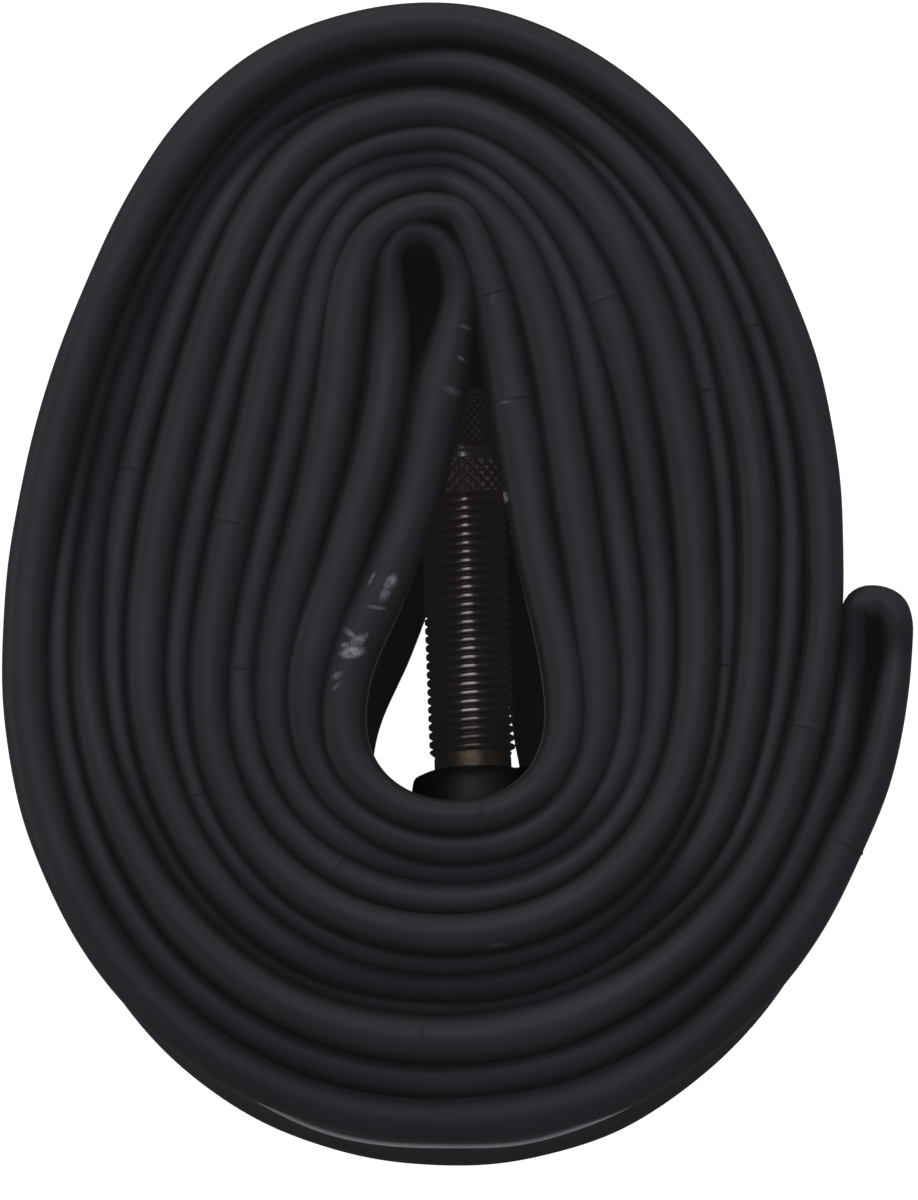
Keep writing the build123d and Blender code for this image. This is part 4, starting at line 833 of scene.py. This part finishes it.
# dust cap with fine diamond knurling
cap_prof = (run(2.27, 34.7, 3.05, 34.7, 4) + run(3.05, 34.7, 3.18, 34.82, 4) + run(3.2, 34.82, 3.2, 39.6, 96, 1)
            + run(3.16, 39.6, 2.7, 40.1, 6) + run(2.7, 40.1, 2.2, 40.2, 4) + run(2.2, 40.2, 0.02, 40.2, 8)
            + run(0.02, 40.2, 0.02, 39.6, 3) + run(0.02, 39.6, 2.27, 39.6, 6) + run(2.27, 39.6, 2.27, 34.7, 16))
cap = lathe("knurled_dust_cap", cap_prof, 324, knurl(26, 0.775, 0.20, 34.76, 39.7, 0.2))
cap.data.materials.append(cap_metal)
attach(cap, "cap")
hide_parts("dust_cap")

# the two hidden rubber pieces keep their CAD shape
for n in ("core_sleeve", "cap_seal"):
    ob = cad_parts[n]
    ob.data.materials.clear()
    ob.data.materials.append(boss_rubber)

# ----------------------------------------------------------------- stage
def floor_material():
    mat, nt, b = material("pale_table")
    v = coords(nt)
    n = noise(nt, v, 3.0, 2.0, 0.5)
    nt.links.new(ramp(nt, n, [(0.3, (0.34, 0.34, 0.345)), (0.7, (0.37, 0.37, 0.375))]), b.inputs["Base Color"])
    b.inputs["Roughness"].default_value = 0.8
    b.inputs["Specular IOR Level"].default_value = 0.1
    b.inputs["Emission Color"].default_value = (1.0, 1.0, 1.0, 1.0)
    b.inputs["Emission Strength"].default_value = 1.0
    return mat


fv = [(-1500, -1500, 0), (1500, -1500, 0), (1500, 1500, 0), (-1500, 1500, 0)]
floor = new_mesh("table_top", fv, [(0, 1, 2, 3)], False)
floor.data.materials.append(floor_material())
lit_by_floor = bpy.data.collections.new("lit_by_table_glow")
lit_by_floor.objects.link(floor)
floor.light_linking.receiver_collection = lit_by_floor

world = bpy.data.worlds.new("studio")
bpy.context.scene.world = world
world.use_nodes = True
wt = world.node_tree
bg = wt.nodes["Background"]
wtc = wt.nodes.new("ShaderNodeTexCoord")
wsep = wt.nodes.new("ShaderNodeSeparateXYZ")
wt.links.new(wtc.outputs["Generated"], wsep.inputs[0])
wramp = wt.nodes.new("ShaderNodeValToRGB")
els = wramp.color_ramp.elements
els[0].position, els[0].color = 0.0, (0.14, 0.138, 0.155, 1.0)
els[1].position, els[1].color = 1.0, (0.295, 0.291, 0.325, 1.0)
wt.links.new(wsep.outputs["Z"], wramp.inputs["Fac"])
# a pale backdrop stands low behind the object and on its left; the front is dim
low_glow = maprange(wt, wsep.outputs["Z"], 0.02, 0.42, 1.15, 0.0)
behind = maprange(wt, math_node(wt, "SUBTRACT", wsep.outputs["Y"], math_node(wt, "MULTIPLY", wsep.outputs["X"], 0.55)), -0.45, 0.45, 0.03, 1.0)
glow = math_node(wt, "MULTIPLY", low_glow, behind)
comb = wt.nodes.new("ShaderNodeCombineXYZ")
for k in range(3):
    wt.links.new(glow, comb.inputs[k])
wt.links.new(mix_color(wt, 1.0, wramp.outputs["Color"], comb.outputs[0], "ADD"), bg.inputs["Color"])
bg.inputs["Strength"].default_value = 1.0


def softbox(name, loc, target, size, power, size_y=None, color=(1, 1, 1)):
    d = bpy.data.lights.new(name, "AREA")
    d.shape = "RECTANGLE"
    d.size = size
    d.size_y = size_y or size
    d.energy = power
    d.color = color
    ob = bpy.data.objects.new(name, d)
    bpy.context.scene.collection.objects.link(ob)
    ob.location = loc
    dirv = Vector(target) - Vector(loc)
    ob.rotation_euler = dirv.to_track_quat("-Z", "Y").to_euler()
    return ob


softbox("overhead", (-0.05, 0.40, 0.85), (-0.05, 0.0, 0.02), 0.98, 1.66, 0.70, (1.0, 0.965, 1.10))

vs_ = bpy.context.scene.view_settings
vs_.view_transform = "Standard"
vs_.look = "None"
